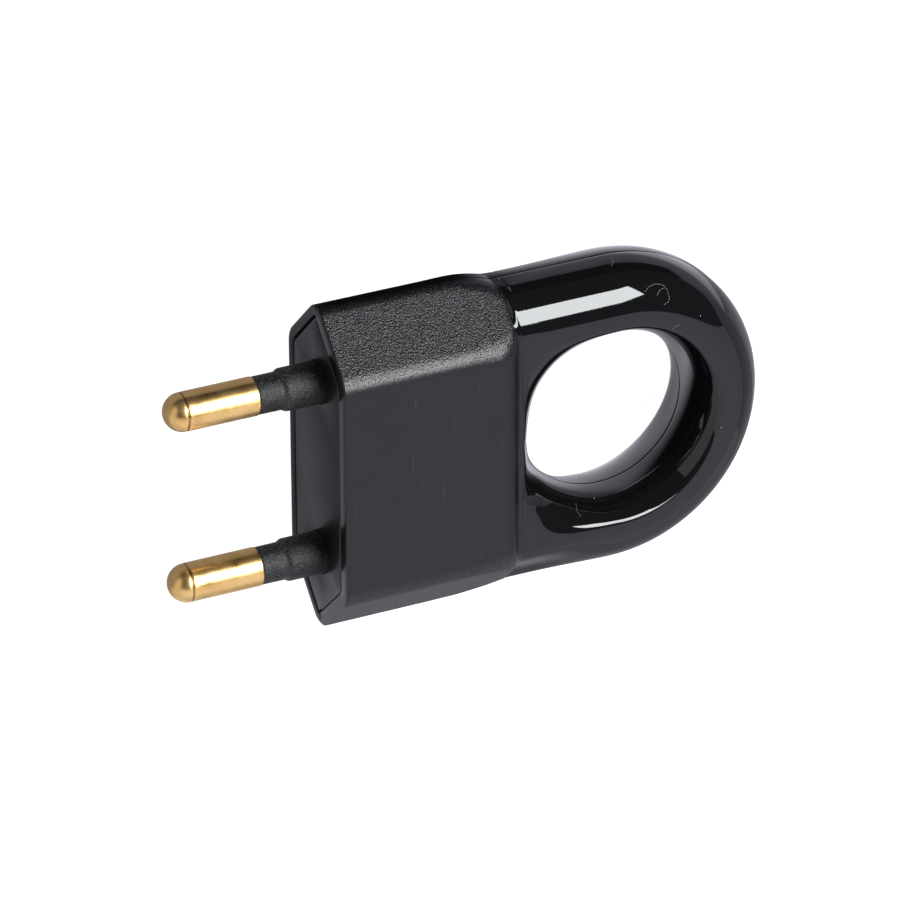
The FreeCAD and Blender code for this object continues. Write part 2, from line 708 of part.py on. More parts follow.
def slotted_screw(name, head_radius, cap, shank_radius, length, slot_width):
    """Pan-head screw standing on its axis: under-head plane at z = 0, shank up, head down."""
    body = new_body(name)
    sk = new_sketch(body, name + "_profile", "XZ_Plane")
    head_radius, cap = Size.of(head_radius), Size.of(cap)
    edge = cap * 0.35
    add_loop(sk, [(ZERO, -cap), (head_radius - edge, -cap), (head_radius, -cap + edge), (head_radius, ZERO), (shank_radius, ZERO),
                  (shank_radius, length - 0.4), (Size.of(shank_radius) - 0.4, length), (ZERO, length)])
    before = start_volume(body)
    feature = body.newObject("PartDesign::Revolution", name + "_turned")
    feature.Profile = sk
    feature.ReferenceAxis = (sk, ["V_Axis"])
    feature.Angle = 360.0
    check_step(body, feature, before, True)
    sk = new_sketch(body, name + "_slot_outline", "XY_Plane", -cap)
    wide = Size.of(slot_width) / 2
    add_loop(sk, [(-head_radius - 0.5, -wide), (head_radius + 0.5, -wide), (head_radius + 0.5, wide), (-head_radius - 0.5, wide)])
    pocket(body, name + "_slot", sk, cap * 0.5, reverse=True)
    return body


case_seat = S.case_half_thick - S.case_sink_depth
case_screw = slotted_screw("case_screw", S.case_screw_head, S.case_screw_cap, S.case_screw_radius,
                           case_seat + S.case_screw_end, 0.8)
place(case_screw, x=S.case_screw_at, z=-case_seat)

nut = new_body("case_nut")
sk = new_sketch(nut, "nut_outline", "XY_Plane")
hexagon(sk, ZERO, S.nut_flats / 2)
add_circle(sk, ZERO, ZERO, S.case_screw_radius + 0.02)
pad(nut, "nut_block", sk, S.nut_thick)
place(nut, x=S.case_screw_at, z=S.nut_seat - S.nut_thick)

# clamp bar: flat ends at the seat, raised over the cord between them
clamp = new_body("cord_clamp")
seat = -S.clamp_seat
topline = seat + S.clamp_thick
under = -S.clamp_arch
upside = -S.clamp_arch + S.clamp_thick
rise_a = S.inlet_at - S.inlet_radius + 0.1
rise_b = S.inlet_at + S.inlet_radius - 0.1
sk = new_sketch(clamp, "clamp_profile", "XZ_Plane")
add_loop(sk, [(S.clamp_front, seat), (rise_a - 0.3, seat), (rise_a + 0.8, under), (rise_b - 0.8, under), (rise_b, seat), (S.clamp_rear, seat),
              (S.clamp_rear, topline), (rise_b + 0.45, topline), (rise_b - 0.3, upside), (rise_a + 0.2, upside), (rise_a - 0.6, topline),
              (S.clamp_front, topline)])
pad(clamp, "clamp_bar", sk, 2 * S.clamp_half_width, symmetric=True)
sk = new_sketch(clamp, "clamp_hole_outline", "XY_Plane")
add_circle(sk, S.clamp_post_at, ZERO, S.clamp_screw_radius + 0.1)
pocket(clamp, "clamp_hole", sk, S.clamp_seat + 1)
place(clamp, y=-S.clamp_at)

# its screw, driven from above: the same pan-head form, turned over by a half turn about X
clamp_screw = slotted_screw("cord_clamp_screw", S.clamp_screw_head, S.clamp_screw_cap, S.clamp_screw_radius, 3.4, 0.5)
clamp_screw.Placement = FreeCAD.Placement(FreeCAD.Vector(0, 0, 0), FreeCAD.Rotation(FreeCAD.Vector(1, 0, 0), 180))
place(clamp_screw, x=S.clamp_post_at, y=-S.clamp_at, z=topline)

for item in (upper, lower, carrier):
    place(item)

# ---------------------------------------------------------------- checks and export
doc.recompute()
for obj in doc.Objects:
    if "Invalid" in obj.State or "Error" in obj.State:
        raise RuntimeError("%s is in state %s" % (obj.Name, obj.State))

pieces = [upper, lower, carrier] + pins + [terminal_screws, case_screw, nut, clamp, clamp_screw]
os.makedirs("parts", exist_ok=True)
for piece in pieces:
    shape = piece.Shape
    if shape.isNull() or not shape.isValid():
        raise RuntimeError("%s has no valid shape" % piece.Label)
    wanted = 2 if piece is terminal_screws else 1
    if len(shape.Solids) != wanted:
        raise RuntimeError("%s has %d solids" % (piece.Label, len(shape.Solids)))
    box = shape.BoundBox
    print("%-20s %9.2f mm3  x %.2f..%.2f  y %.2f..%.2f  z %.2f..%.2f" % (
        piece.Label, shape.Volume, box.XMin, box.XMax, box.YMin, box.YMax, box.ZMin, box.ZMax))
    shape.exportStep(os.path.join("parts", piece.Label + ".step"))
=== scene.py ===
import math

import bmesh
import bpy
import numpy as np
from mathutils import Matrix, Vector
from mathutils.geometry import delaunay_2d_cdt


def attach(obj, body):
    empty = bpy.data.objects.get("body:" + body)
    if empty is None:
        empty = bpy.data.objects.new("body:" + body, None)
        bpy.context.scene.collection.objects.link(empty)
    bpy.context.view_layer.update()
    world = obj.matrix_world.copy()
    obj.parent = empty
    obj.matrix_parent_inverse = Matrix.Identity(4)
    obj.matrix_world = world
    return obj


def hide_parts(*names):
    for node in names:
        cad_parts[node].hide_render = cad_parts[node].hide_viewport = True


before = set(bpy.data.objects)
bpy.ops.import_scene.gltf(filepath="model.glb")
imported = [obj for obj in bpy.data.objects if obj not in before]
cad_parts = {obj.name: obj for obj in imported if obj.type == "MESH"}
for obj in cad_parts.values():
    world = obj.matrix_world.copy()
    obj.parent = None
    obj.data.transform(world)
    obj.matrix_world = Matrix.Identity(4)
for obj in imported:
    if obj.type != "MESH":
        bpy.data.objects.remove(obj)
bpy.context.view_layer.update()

# All shapes below are worked out in millimetres in the plug's own face frame: origin in
# the middle of the front face, +X to the ring, +Z up from the seam. to_row() turns them
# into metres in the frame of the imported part.
BACK, UP = 15.875, 6.9


def to_row(points):
    p = np.asarray(points, float).reshape(-1, 3)
    return (p + np.array([-BACK, 0.0, UP])) / 1000.0


# ---------------------------------------------------------------- mesh helpers
class Build:
    """Collects vertices and faces in the face frame and makes one object of them."""

    def __init__(self):
        self.v = []
        self.f = []
        self.m = []
        self.tex = []

    def add(self, points, tex=0.0):
        """Adds points of shape (..., 3) and returns their numbers in the same shape."""
        p = np.asarray(points, float)
        n = int(np.prod(p.shape[:-1]))
        start = len(self.v)
        self.v += [tuple(q) for q in p.reshape(-1, 3)]
        t = np.broadcast_to(np.asarray(tex, float), p.shape[:-1]).reshape(-1)
        self.tex += list(t)
        return np.arange(start, start + n).reshape(p.shape[:-1])

    def strip(self, grid, mat=0, close=False, flip=False):
        """Quads between the rows of a grid of vertex numbers."""
        rows, cols = grid.shape
        for i in range(rows - 1):
            last = cols if close else cols - 1
            for j in range(last):
                k = (j + 1) % cols
                q = [grid[i, j], grid[i, k], grid[i + 1, k], grid[i + 1, j]]
                q = [int(a) for n, a in enumerate(q) if a not in q[:n]]
                if len(q) < 3:
                    continue
                self.f.append(q[::-1] if flip else q)
                self.m.append(mat)

    def face(self, loop, mat=0):
        self.f.append([int(a) for a in loop])
        self.m.append(mat)

    def plane_fill(self, loops, axes, mat=0):
        """Fills the region between closed loops of vertex numbers that lie in one plane."""
        ids, edges = [], []
        for loop in loops:
            start = len(ids)
            ids += [int(a) for a in loop]
            n = len(loop)
            edges += [(start + i, start + (i + 1) % n) for i in range(n)]
        flat = [Vector((self.v[a][axes[0]], self.v[a][axes[1]])) for a in ids]
        out = delaunay_2d_cdt(flat, edges, [], 1, 1e-7)
        verts, faces, origin = out[0], out[2], out[3]
        # keep the faces inside the first loop and outside the others
        polys = [np.array([flat[i] for i in range(len(flat))])[
            sum(len(q) for q in loops[:k]):sum(len(q) for q in loops[:k + 1])] for k in range(len(loops))]
        names = []
        for i, src in enumerate(origin):
            names.append(ids[src[0]] if src else None)
        for tri in faces:
            c = sum((verts[i] for i in tri), Vector((0, 0))) / len(tri)
            if any(names[i] is None for i in tri):
                continue
            if not inside(polys[0], c) or any(inside(p, c) for p in polys[1:]):
                continue
            self.face([names[i] for i in tri], mat)

    def make(self, name, mats, mirror=False, smooth=40.0, close=True):
        v = np.array(self.v, float)
        if mirror:
            v[:, 2] *= -1
        mesh = bpy.data.meshes.new(name)
        mesh.from_pydata([tuple(q) for q in to_row(v)], [], self.f)
        for m in mats:
            mesh.materials.append(m)
        mesh.polygons.foreach_set("material_index", self.m)
        mesh.attributes.new("grain", "FLOAT", "POINT").data.foreach_set("value", np.array(self.tex, np.float32))
        bm = bmesh.new()
        bm.from_mesh(mesh)
        bmesh.ops.remove_doubles(bm, verts=bm.verts, dist=2e-7)
        if close:
            edges = [e for e in bm.edges if e.is_boundary]
            if edges:
                bmesh.ops.holes_fill(bm, edges=edges, sides=0)
        bmesh.ops.recalc_face_normals(bm, faces=bm.faces)
        open_edges = sum(1 for e in bm.edges if not e.is_manifold)
        limit = math.radians(smooth)
        for e in bm.edges:
            e.smooth = not (len(e.link_faces) == 2 and e.calc_face_angle(0) > limit)
        for f in bm.faces:
            f.smooth = True
        bm.to_mesh(mesh)
        bm.free()
        obj = bpy.data.objects.new(name, mesh)
        bpy.context.scene.collection.objects.link(obj)
        print("PIECE", name, "faces", len(mesh.polygons), "open edges", open_edges)
        return obj


def inside(poly, c):
    x, y = poly[:, 0], poly[:, 1]
    x2, y2 = np.roll(x, -1), np.roll(y, -1)
    cross = (y > c[1]) != (y2 > c[1])
    with np.errstate(divide="ignore", invalid="ignore"):
        at = (x2 - x) * (c[1] - y) / (y2 - y) + x
    return bool(np.sum(cross & (c[0] < at)) % 2)


def smooth(a, b, t):
    t = np.clip((np.asarray(t, float) - a) / (b - a), 0, 1)
    return t * t * (3 - 2 * t)


# ---------------------------------------------------------------- the case: shape
HALF_W, HALF_T, FLAT_W, EDGE_T = 18.0, 6.9, 12.2, 0.9
SLOPE = (HALF_T - EDGE_T) / (HALF_W - FLAT_W)
FLAT_RATIO = math.tan(math.atan(SLOPE) / 2)
EDGE_RATIO = math.tan(math.atan(1 / SLOPE) / 2)
CORNER_X, CORNER_R = 13.4, 14.7
ROLL_X, ROLL_R = 17.1, 2.75
RING_X, RING_W, RING_T, RING_RHO = 31.2, 16.95, 5.4, 5.0
RING_LOW = RING_T - RING_RHO
BORE_R, BELLY = 9.1, 8.5
GAP, SEAM_F = 0.065, 0.03          # half the gap in the seam, rounding of its edges
LEVEL = GAP + SEAM_F


def outline(x):
    """Half width of the body at the seam."""
    x = np.asarray(x, float)
    arc = HALF_W - CORNER_R + np.sqrt(np.maximum(CORNER_R ** 2 - np.maximum(x - CORNER_X, 0) ** 2, 1.0))
    return np.maximum(np.where(x <= CORNER_X, HALF_W, arc), RING_W)


def crown(x):
    """Height of the main face, rolled down at the rear."""
    x = np.asarray(x, float)
    d = np.clip(x - ROLL_X, 0, ROLL_R * 0.98)
    return HALF_T - ROLL_R + np.sqrt(ROLL_R ** 2 - d ** 2)


N_SIDE, N_R1, N_BEVEL, N_R2, N_FLAT = 4, 9, 16, 9, 34


BEVEL_N = np.array([SLOPE, 1.0]) / math.hypot(SLOPE, 1.0)


def section(x, inset=0.0, low=LEVEL, grow=(0.7, 0.8)):
    """Points (y, z) of the upper section at x, from the +Y seam level over to -Y, and a mask that is 1 on the bevel."""
    x = float(x)
    r1 = 1.6 + grow[0] * float(smooth(11.0, 15.0, x)) + grow[1] * float(smooth(15.0, 19.2, x))
    r2 = 2.7 + 1.1 * float(smooth(13.5, 19.0, x))
    side = float(outline(x)) - inset
    top = float(crown(x)) - inset
    rolled = 0.07 * (HALF_T - float(crown(x)))
    level = BEVEL_N @ np.array([HALF_W, EDGE_T]) - rolled - inset
    edge = (level - BEVEL_N[0] * side) / BEVEL_N[1]
    flat = (level - BEVEL_N[1] * top) / BEVEL_N[0]
    r1, r2 = max(r1 - inset, 0.12), max(r2 - inset, 0.12)
    run = math.hypot(side - flat, top - edge)
    ang = math.atan2(top - edge, side - flat)
    turn1, turn2 = math.pi / 2 - ang, ang
    t1 = min(r1 * math.tan(turn1 / 2), (edge - low) * 0.92, run * 0.4)
    t2 = min(r2 * math.tan(turn2 / 2), run * 0.4)
    dy, dz = (flat - side) / run, (top - edge) / run
    a, b = np.array([side, edge - t1]), np.array([side + dy * t1, edge + dz * t1])
    c, d = np.array([flat - dy * t2, top - dz * t2]), np.array([flat - t2, top])
    pts, mask = [], []

    def bend(p, corner, q, n):
        u = np.linspace(0, 1, n + 1)[1:, None]
        w = 0.82
        return ((1 - u) ** 2 * p + 2 * u * (1 - u) * w * corner + u ** 2 * q) / ((1 - u) ** 2 + 2 * u * (1 - u) * w + u ** 2)

    for u in np.linspace(0, 1, N_SIDE + 1):
        pts.append(np.array([side, low]) * (1 - u) + a * u)
        mask.append(0.0)
    for i, p in enumerate(bend(a, np.array([side, edge]), b, N_R1)):
        pts.append(p)
        mask.append(float(smooth(0, N_R1, i + 1)))
    for u in np.linspace(0, 1, N_BEVEL + 1)[1:]:
        pts.append(b * (1 - u) + c * u)
        mask.append(1.0)
    for i, p in enumerate(bend(c, np.array([flat, top]), d, N_R2)):
        pts.append(p)
        mask.append(1.0 - float(smooth(N_R2 * 0.3, N_R2, i + 1)))
    for u in np.linspace(0, 1, N_FLAT + 1)[1:]:
        pts.append(d * (1 - u) + np.array([0.0, top]) * u)
        mask.append(0.0)
    half = np.array(pts)
    other = half[:-1][::-1] * np.array([-1, 1])
    mask = np.array(mask + mask[:-1][::-1])
    return np.concatenate([half, other]), mask


NS = 2 * (N_SIDE + N_R1 + N_BEVEL + N_R2 + N_FLAT) + 1


def flatter(share, lean):
    """Factor on the flank's height; share is the distance from the flank's centre over RING_RHO."""
    return 1.0 - lean * 4.0 * share ** 2 * (1.0 - share ** 2)


def ring_outer(q, lean=0.0):
    """Height of the ring's flank; q runs from the flank's centre (0) out to the outline (RING_RHO)."""
    q = np.clip(q, 0, RING_RHO)
    return RING_LOW + np.sqrt(np.maximum(RING_RHO ** 2 - q ** 2, 0)) * flatter(q / RING_RHO, lean)


def belly(theta):
    """Radius of the bore's bellied wall: tighter towards the two corners on the body's side, where the lip is squarer."""
    off = np.abs(((theta - math.pi) + math.pi) % (2 * math.pi) - math.pi)
    bump = smooth(math.radians(6), math.radians(38), off) * (1 - smooth(math.radians(44), math.radians(88), off))
    return 1.0 / (1.0 / BELLY + 0.066 * bump)


def ring_height(x, y, lean=(0.0, 0.0)):
    r = np.hypot(x - RING_X, y)
    theta = np.arctan2(y, x - RING_X)
    q = np.where(x < RING_X, np.abs(y), r) - (RING_W - RING_RHO)
    outer = ring_outer(q, np.where(y >= 0, lean[0], lean[1]) * (1 - smooth(21.0, 31.2, x)))
    b = belly(theta)
    v = np.clip(r - BORE_R, 0, None)
    vv = np.minimum(v, b * 0.93)
    wall = np.sqrt(np.maximum(b ** 2 - (b - vv) ** 2, 0))
    k = 0.42
    h = np.clip(0.5 + 0.5 * (RING_T - wall) / k, 0, 1)
    inner = RING_T * (1 - h) + wall * h - k * h * (1 - h)
    return np.minimum(outer, RING_T) + np.minimum(inner, RING_T) - RING_T


def ring_neck(yz, lean=(0.0, 0.0)):
    """The ring's section point that faces a point of the body's section."""
    y, z = yz
    s = 1 if y >= 0 else -1
    y = abs(y)
    c = RING_W - RING_RHO
    if y <= c:
        return np.array([s * y, RING_T])
    if z <= RING_LOW:
        return np.array([s * RING_W, z])
    phi = math.atan2(z - RING_LOW, y - c)
    return np.array([s * (c + RING_RHO * math.cos(phi)), RING_LOW + RING_RHO * math.sin(phi) * flatter(math.cos(phi), lean[0] if s > 0 else lean[1])])


def end_x(y):
    """Where the body's skin gives way to the ring."""
    return 19.42 - 0.22 * smooth(11.5, 14.0, abs(y)) + 0.12 * smooth(15.6, 16.9, abs(y))


# slot 4 holds the seam's land and the rounding of its edges, in painted shade
M_SATIN, M_GLOSS, M_RIM, M_INSIDE, M_SEAM_SHADE = 0, 1, 2, 3, 4


def shell(rim, lip, lean=(0.0, 0.0), grow=(0.7, 0.8)):
    """One half of the case, upper way round. rim: width of its front rim; lip: depth and width of a step inside it, or None;
    lean: how much flatter the ring's flank is beside the neck, on the +Y and the -Y side;
    grow: how much the rounding of the side edge grows before and beside the ring."""
    bd = Build()
    # skin of the body, front to rear, on lines that run along the section
    fr = 0.16
    xs = np.concatenate([[fr], np.linspace(0.45, 12.9, 34), np.linspace(13.3, 16.9, 14), np.linspace(17.1, 19.0, 14)])
    rows, masks = [], []
    for x in xs:
        yz, mask = section(x, grow=grow)
        rows.append(np.column_stack([np.full(NS, x), yz]))
        masks.append(mask)
    # last rows follow the curve on which the body ends
    base, mask = section(19.0, grow=grow)
    ends = np.array([end_x(y) for y in base[:, 0]])
    for share in (0.35, 0.7, 1.0):
        pts = []
        for i in range(NS):
            x = 19.0 + (ends[i] - 19.0) * share
            pts.append([x, *section_cache(x, grow)[i]])
        rows.append(np.array(pts))
        masks.append(mask)
    rows = np.array(rows)
    grain = np.array(masks)
    # the satin grain dies out just before the ring
    fade = 1 - smooth(18.6, 19.3, rows[..., 0])
    body = bd.add(rows, grain * fade)
    bd.strip(body, M_SATIN)

    # a small glossy hollow between the body's end and the ring
    foot = rows[-1]
    onto = np.array([[foot[i, 0] + 0.46, *ring_neck(foot[i, 1:], lean)] for i in range(NS)])
    # on the flat the ring's own height decides
    knee = []
    for i in range(NS):
        p, q = foot[i], onto[i]
        if abs(p[1]) < 13.0:
            knee.append([p[0] + 0.10, q[1], q[2]])
        else:
            knee.append([p[0] + 0.18, 0.2 * p[1] + 0.8 * q[1], 0.2 * p[2] + 0.8 * q[2]])
    knee = np.array(knee)
    mids = []
    for u in (0.25, 0.5, 0.75):
        mids.append((1 - u) ** 2 * foot + 2 * u * (1 - u) * knee + u ** 2 * onto)
    mid_ids = bd.add(np.array(mids))
    onto_ids = bd.add(onto)
    neck = np.vstack([body[-1:], mid_ids, onto_ids[None, :]])
    bd.strip(neck, M_GLOSS)

    # ring: lines from its outline (and from the neck) to the bore
    n_flank, n_turn = 34, 190
    x0 = onto[0, 0]
    flank_x = np.linspace(x0, RING_X, n_flank + 1)[1:]
    up = np.column_stack([flank_x, np.full(n_flank, RING_W), np.full(n_flank, LEVEL)])
    th = np.linspace(math.pi / 2, -math.pi / 2, n_turn + 1)[1:]
    turn = np.column_stack([RING_X + RING_W * np.cos(th), RING_W * np.sin(th), np.full(n_turn, LEVEL)])
    # loop order: neck from +Y to -Y, then the -Y flank outwards, the turn, the +Y flank inwards
    loop = np.vstack([onto, up[:-1] * np.array([1, -1, 1]), [[RING_X, -RING_W, LEVEL]],
                      turn[::-1][1:], [[RING_X, RING_W, LEVEL]], up[:-1][::-1]])
    # angle on the bore for each start
    ang = np.zeros(len(loop))
    a_neck = math.radians(50)
    for i, p in enumerate(loop):
        if i < NS:
            continue
        if p[0] >= RING_X - 1e-9:
            ang[i] = math.atan2(p[1], p[0] - RING_X)
        else:
            a = math.pi / 2 + (math.pi / 2 - a_neck) * (RING_X - p[0]) / (RING_X - x0)
            ang[i] = a if p[1] > 0 else -a
    seg = np.linalg.norm(np.diff(onto, axis=0), axis=1)
    share = np.concatenate([[0], np.cumsum(seg)]) / seg.sum()
    # evenly over the flat, so that lines on the main part run straight to the bore
    ang[:NS] = (math.pi - a_neck) + 2 * a_neck * share
    bore = np.column_stack([RING_X + BORE_R * np.cos(ang), BORE_R * np.sin(ang)])
    m_rows = 70
    u = (1 - np.cos(np.linspace(0, math.pi, 500))) / 2
    lines = np.zeros((len(loop), m_rows + 1, 3))
    for i, p in enumerate(loop):
        plan = p[None, :2] * (1 - u[:, None]) + bore[i][None, :] * u[:, None]
        z = ring_height(plan[:, 0], plan[:, 1], lean)
        z = np.maximum(z, min(p[2], LEVEL))
        curve = np.vstack([p[None, :], np.column_stack([plan[1:-1], z[1:-1]]), [[bore[i, 0], bore[i, 1], LEVEL]]])
        # near its start the line leaves the neck's own point smoothly
        if i < NS:
            off = p[2] - z[0]
            dist = np.linalg.norm(plan[1:-1] - p[:2], axis=1)
            curve[1:-1, 2] += off * (1 - smooth(0, 0.6, dist))
        d = np.concatenate([[0], np.cumsum(np.linalg.norm(np.diff(curve, axis=0), axis=1))])
        want = np.linspace(0, d[-1], m_rows + 1)
        lines[i] = np.column_stack([np.interp(want, d, curve[:, k]) for k in range(3)])
    grid = lines.transpose(1, 0, 2)
    inner = bd.add(grid[1:])
    outer_ids = np.concatenate([onto_ids, bd.add(grid[0, NS:])])
    ring = np.vstack([outer_ids[None, :], inner])
    bd.strip(ring, M_GLOSS, close=True)

    # edge of the seam, in painted shade: outside chain from the front of +Y, round the ring, to the front of -Y
    chain = list(body[:, 0]) + list(mid_ids[:, 0]) + [onto_ids[0]] + list(outer_ids[NS:][::-1]) + \
        [onto_ids[-1]] + list(mid_ids[::-1, -1]) + list(body[::-1, -1])
    p = np.array([bd.v[a] for a in chain])
    tan = np.gradient(p[:, :2], axis=0)
    nrm = np.column_stack([tan[:, 1], -tan[:, 0]])
    nrm /= np.linalg.norm(nrm, axis=1)[:, None] + 1e-12
    centre = np.array([18.0, 0.0])
    nrm *= np.where(np.einsum("ij,ij->i", nrm, p[:, :2] - centre) < 0, 1, -1)[:, None]
    edge_rows = [np.array(chain)]
    for a in (30, 60, 90):
        a = math.radians(a)
        q = p.copy()
        q[:, :2] += nrm * SEAM_F * (1 - math.cos(a))
        q[:, 2] = LEVEL - SEAM_F * math.sin(a)
        edge_rows.append(bd.add(q))
    edge_rows = np.array(edge_rows)
    total = len(chain)
    for r in range(3):
        for j in range(total - 1):
            bd.face([edge_rows[r, j], edge_rows[r, j + 1], edge_rows[r + 1, j + 1], edge_rows[r + 1, j]],
                    M_SEAM_SHADE)
    outer_chain = edge_rows[-1]

    # edge of the seam in the bore, in painted shade
    last = grid[-1]
    b_rows = [inner[-1]]
    for a in (30, 60, 90):
        a = math.radians(a)
        r = BORE_R + SEAM_F * (1 - math.cos(a))
        b_rows.append(bd.add(np.column_stack([RING_X + r * np.cos(ang), r * np.sin(ang), np.full(len(ang), LEVEL - SEAM_F * math.sin(a))])))
    bd.strip(np.array(b_rows), M_SEAM_SHADE, close=True)
    bore_chain = b_rows[-1]

    # front edge, rim and hollow
    front = [body[0]]
    spots = []
    for a in (25, 50, 70, 90):
        a = math.radians(a)
        spots.append((fr * (1 - math.sin(a)), fr * (1 - math.cos(a))))
    spots += [(0.0, rim - 0.08), (0.03, rim - 0.025), (0.09, rim)]
    if lip:
        spots += [(lip[0], rim), (lip[0], lip[1])]
    spots += [(9.0, lip[1] if lip else rim), (18.0, lip[1] if lip else rim)]
    for x, inset in spots:
        yz, _ = section(0.0, inset, low=GAP)
        yz[0, 1] = yz[-1, 1] = GAP
        front.append(bd.add(np.column_stack([np.full(NS, x), yz])))
    front = np.array(front)
    bd.strip(front[:6], M_RIM)
    bd.strip(front[5:], M_INSIDE)
    bd.face(front[-1], M_INSIDE)

    # the land of the seam, in painted shade
    first = 4                      # first front row that lies flat in the front plane
    left = [front[r, 0] for r in range(first, len(front))]
    right = [front[r, -1] for r in range(first, len(front))]
    outline_loop = list(outer_chain) + right + left[::-1]
    bd.plane_fill([outline_loop, list(bore_chain)], (0, 1), M_SEAM_SHADE)
    return bd


_cache = {}


def section_cache(x, grow):
    key = (round(float(x), 3), grow)
    if key not in _cache:
        _cache[key] = section(key[0], grow=grow)[0]
    return _cache[key]


# ---------------------------------------------------------------- materials
def material(name):
    m = bpy.data.materials.new(name)
    m.use_nodes = True
    nt = m.node_tree
    nt.nodes.clear()
    out = nt.nodes.new("ShaderNodeOutputMaterial")
    bsdf = nt.nodes.new("ShaderNodeBsdfPrincipled")
    nt.links.new(bsdf.outputs[0], out.inputs[0])
    return m, nt, bsdf


def node(nt, kind, **inputs):
    n = nt.nodes.new(kind)
    for k, v in inputs.items():
        if k in n.inputs:
            n.inputs[k].default_value = v
        else:
            setattr(n, k, v)
    return n


def ramp(nt, source, stops):
    r = nt.nodes.new("ShaderNodeValToRGB")
    els = r.color_ramp.elements
    while len(els) < len(stops):
        els.new(0.5)
    for e, (pos, val) in zip(els, stops):
        e.position = pos
        e.color = (val, val, val, 1) if not hasattr(val, "__len__") else (*val, 1)
    nt.links.new(source, r.inputs[0])
    return r.outputs[0]


def coords(nt, scale=(1, 1, 1)):
    tc = nt.nodes.new("ShaderNodeTexCoord")
    mp = nt.nodes.new("ShaderNodeMapping")
    mp.inputs["Scale"].default_value = scale
    nt.links.new(tc.outputs["Object"], mp.inputs[0])
    return mp.outputs[0]


def math_node(nt, op, a, b):
    n = nt.nodes.new("ShaderNodeMath")
    n.operation = op
    for i, v in enumerate((a, b)):
        if hasattr(v, "is_linked") or hasattr(v, "links"):
            nt.links.new(v, n.inputs[i])
        else:
            n.inputs[i].default_value = v
    return n.outputs[0]


def noise(nt, vec, scale, detail=3.0, rough=0.5):
    n = nt.nodes.new("ShaderNodeTexNoise")
    nt.links.new(vec, n.inputs["Vector"])
    n.inputs["Scale"].default_value = scale
    n.inputs["Detail"].default_value = detail
    n.inputs["Roughness"].default_value = rough
    return n.outputs["Fac"]


def voronoi(nt, vec, scale, feature="F1", rnd=1.0):
    n = nt.nodes.new("ShaderNodeTexVoronoi")
    n.feature = feature
    nt.links.new(vec, n.inputs["Vector"])
    n.inputs["Scale"].default_value = scale
    n.inputs["Randomness"].default_value = rnd
    return n.outputs["Distance"]


def bump(nt, height, strength, distance, normal=None):
    b = nt.nodes.new("ShaderNodeBump")
    if hasattr(strength, "links"):
        nt.links.new(strength, b.inputs["Strength"])
    else:
        b.inputs["Strength"].default_value = strength
    b.inputs["Distance"].default_value = distance
    nt.links.new(height, b.inputs["Height"])
    if normal is not None:
        nt.links.new(normal, b.inputs["Normal"])
    return b.outputs[0]


def mix_color(nt, factor, a, b):
    n = nt.nodes.new("ShaderNodeMix")
    n.data_type = "RGBA"
    nt.links.new(factor, n.inputs["Factor"])
    nt.links.new(a, n.inputs[6])
    n.inputs[7].default_value = (*b, 1)
    return n.outputs[2]


def satin_black():
    """Case body: satin on the main face, spark-eroded grain on the bevels."""
    m, nt, p = material("case_satin")
    vec = coords(nt)
    at = nt.nodes.new("ShaderNodeAttribute")
    at.attribute_name = "grain"
    grain = at.outputs["Fac"]
    fine = noise(nt, vec, 6300, 2, 0.5)
    cells = voronoi(nt, vec, 4850)
    rough_h = math_node(nt, "ADD", fine, math_node(nt, "MULTIPLY", cells, 0.55))
    smooth_h = noise(nt, vec, 2600, 2, 0.5)
    height = nt.nodes.new("ShaderNodeMix")
    nt.links.new(grain, height.inputs["Factor"])
    nt.links.new(smooth_h, height.inputs["A"])
    nt.links.new(rough_h, height.inputs["B"])
    strength = math_node(nt, "ADD", math_node(nt, "MULTIPLY", grain, 0.57), 0.08)
    n1 = bump(nt, height.outputs["Result"], strength, 0.00007)
    nt.links.new(n1, p.inputs["Normal"])
    blot = noise(nt, vec, 140, 4, 0.6)
    r = math_node(nt, "ADD", math_node(nt, "MULTIPLY", grain, 0.02), math_node(nt, "ADD", math_node(nt, "MULTIPLY", blot, 0.06), 0.27))
    nt.links.new(r, p.inputs["Roughness"])
    plain = ramp(nt, blot, [(0.3, (0.0030, 0.0031, 0.0040)), (0.75, (0.0042, 0.0043, 0.0052))])
    # pale peaks of the grain: painted glints, partly wear of the peaks; and thin short scuffs on the smooth face
    glint_peaks = ramp(nt, noise(nt, vec, 7100, 1, 0.5), [(0.53, 0.0), (0.60, 1.0)])
    glint_peaks = math_node(nt, "MULTIPLY", glint_peaks, grain)
    scuff = ramp(nt, noise(nt, coords(nt, (1.0, 0.10, 1.0)), 2600, 2, 0.5), [(0.705, 0.0), (0.74, 1.0)])
    scuff = math_node(nt, "MULTIPLY", scuff, 0.35)
    pale = math_node(nt, "MAXIMUM", glint_peaks, scuff)
    # base colour: the plain tone, lightened by the painted glints and by the scuffs
    nt.links.new(mix_color(nt, pale, plain, (0.042, 0.043, 0.046)), p.inputs["Base Color"])
    p.inputs["IOR"].default_value = 1.49
    return m


def gloss_black():
    m, nt, p = material("ring_gloss")
    vec = coords(nt)
    soft = noise(nt, vec, 55, 2, 0.4)
    fine = noise(nt, vec, 900, 3, 0.5)
    n1 = bump(nt, soft, 0.10, 0.0004)
    n2 = bump(nt, fine, 0.02, 0.00002, n1)
    nt.links.new(n2, p.inputs["Normal"])
    wipe = noise(nt, coords(nt, (1, 6, 1)), 260, 4, 0.7)
    nt.links.new(ramp(nt, wipe, [(0.45, 0.035), (0.75, 0.075)]), p.inputs["Roughness"])
    plain = ramp(nt, soft, [(0.2, (0.0030, 0.0031, 0.0036)), (0.8, (0.0042, 0.0043, 0.0048))])
    dust = ramp(nt, voronoi(nt, vec, 300), [(0.012, 1.0), (0.022, 0.0)])
    nt.links.new(mix_color(nt, dust, plain, (0.42, 0.42, 0.42)), p.inputs["Base Color"])
    p.inputs["IOR"].default_value = 1.52
    return m


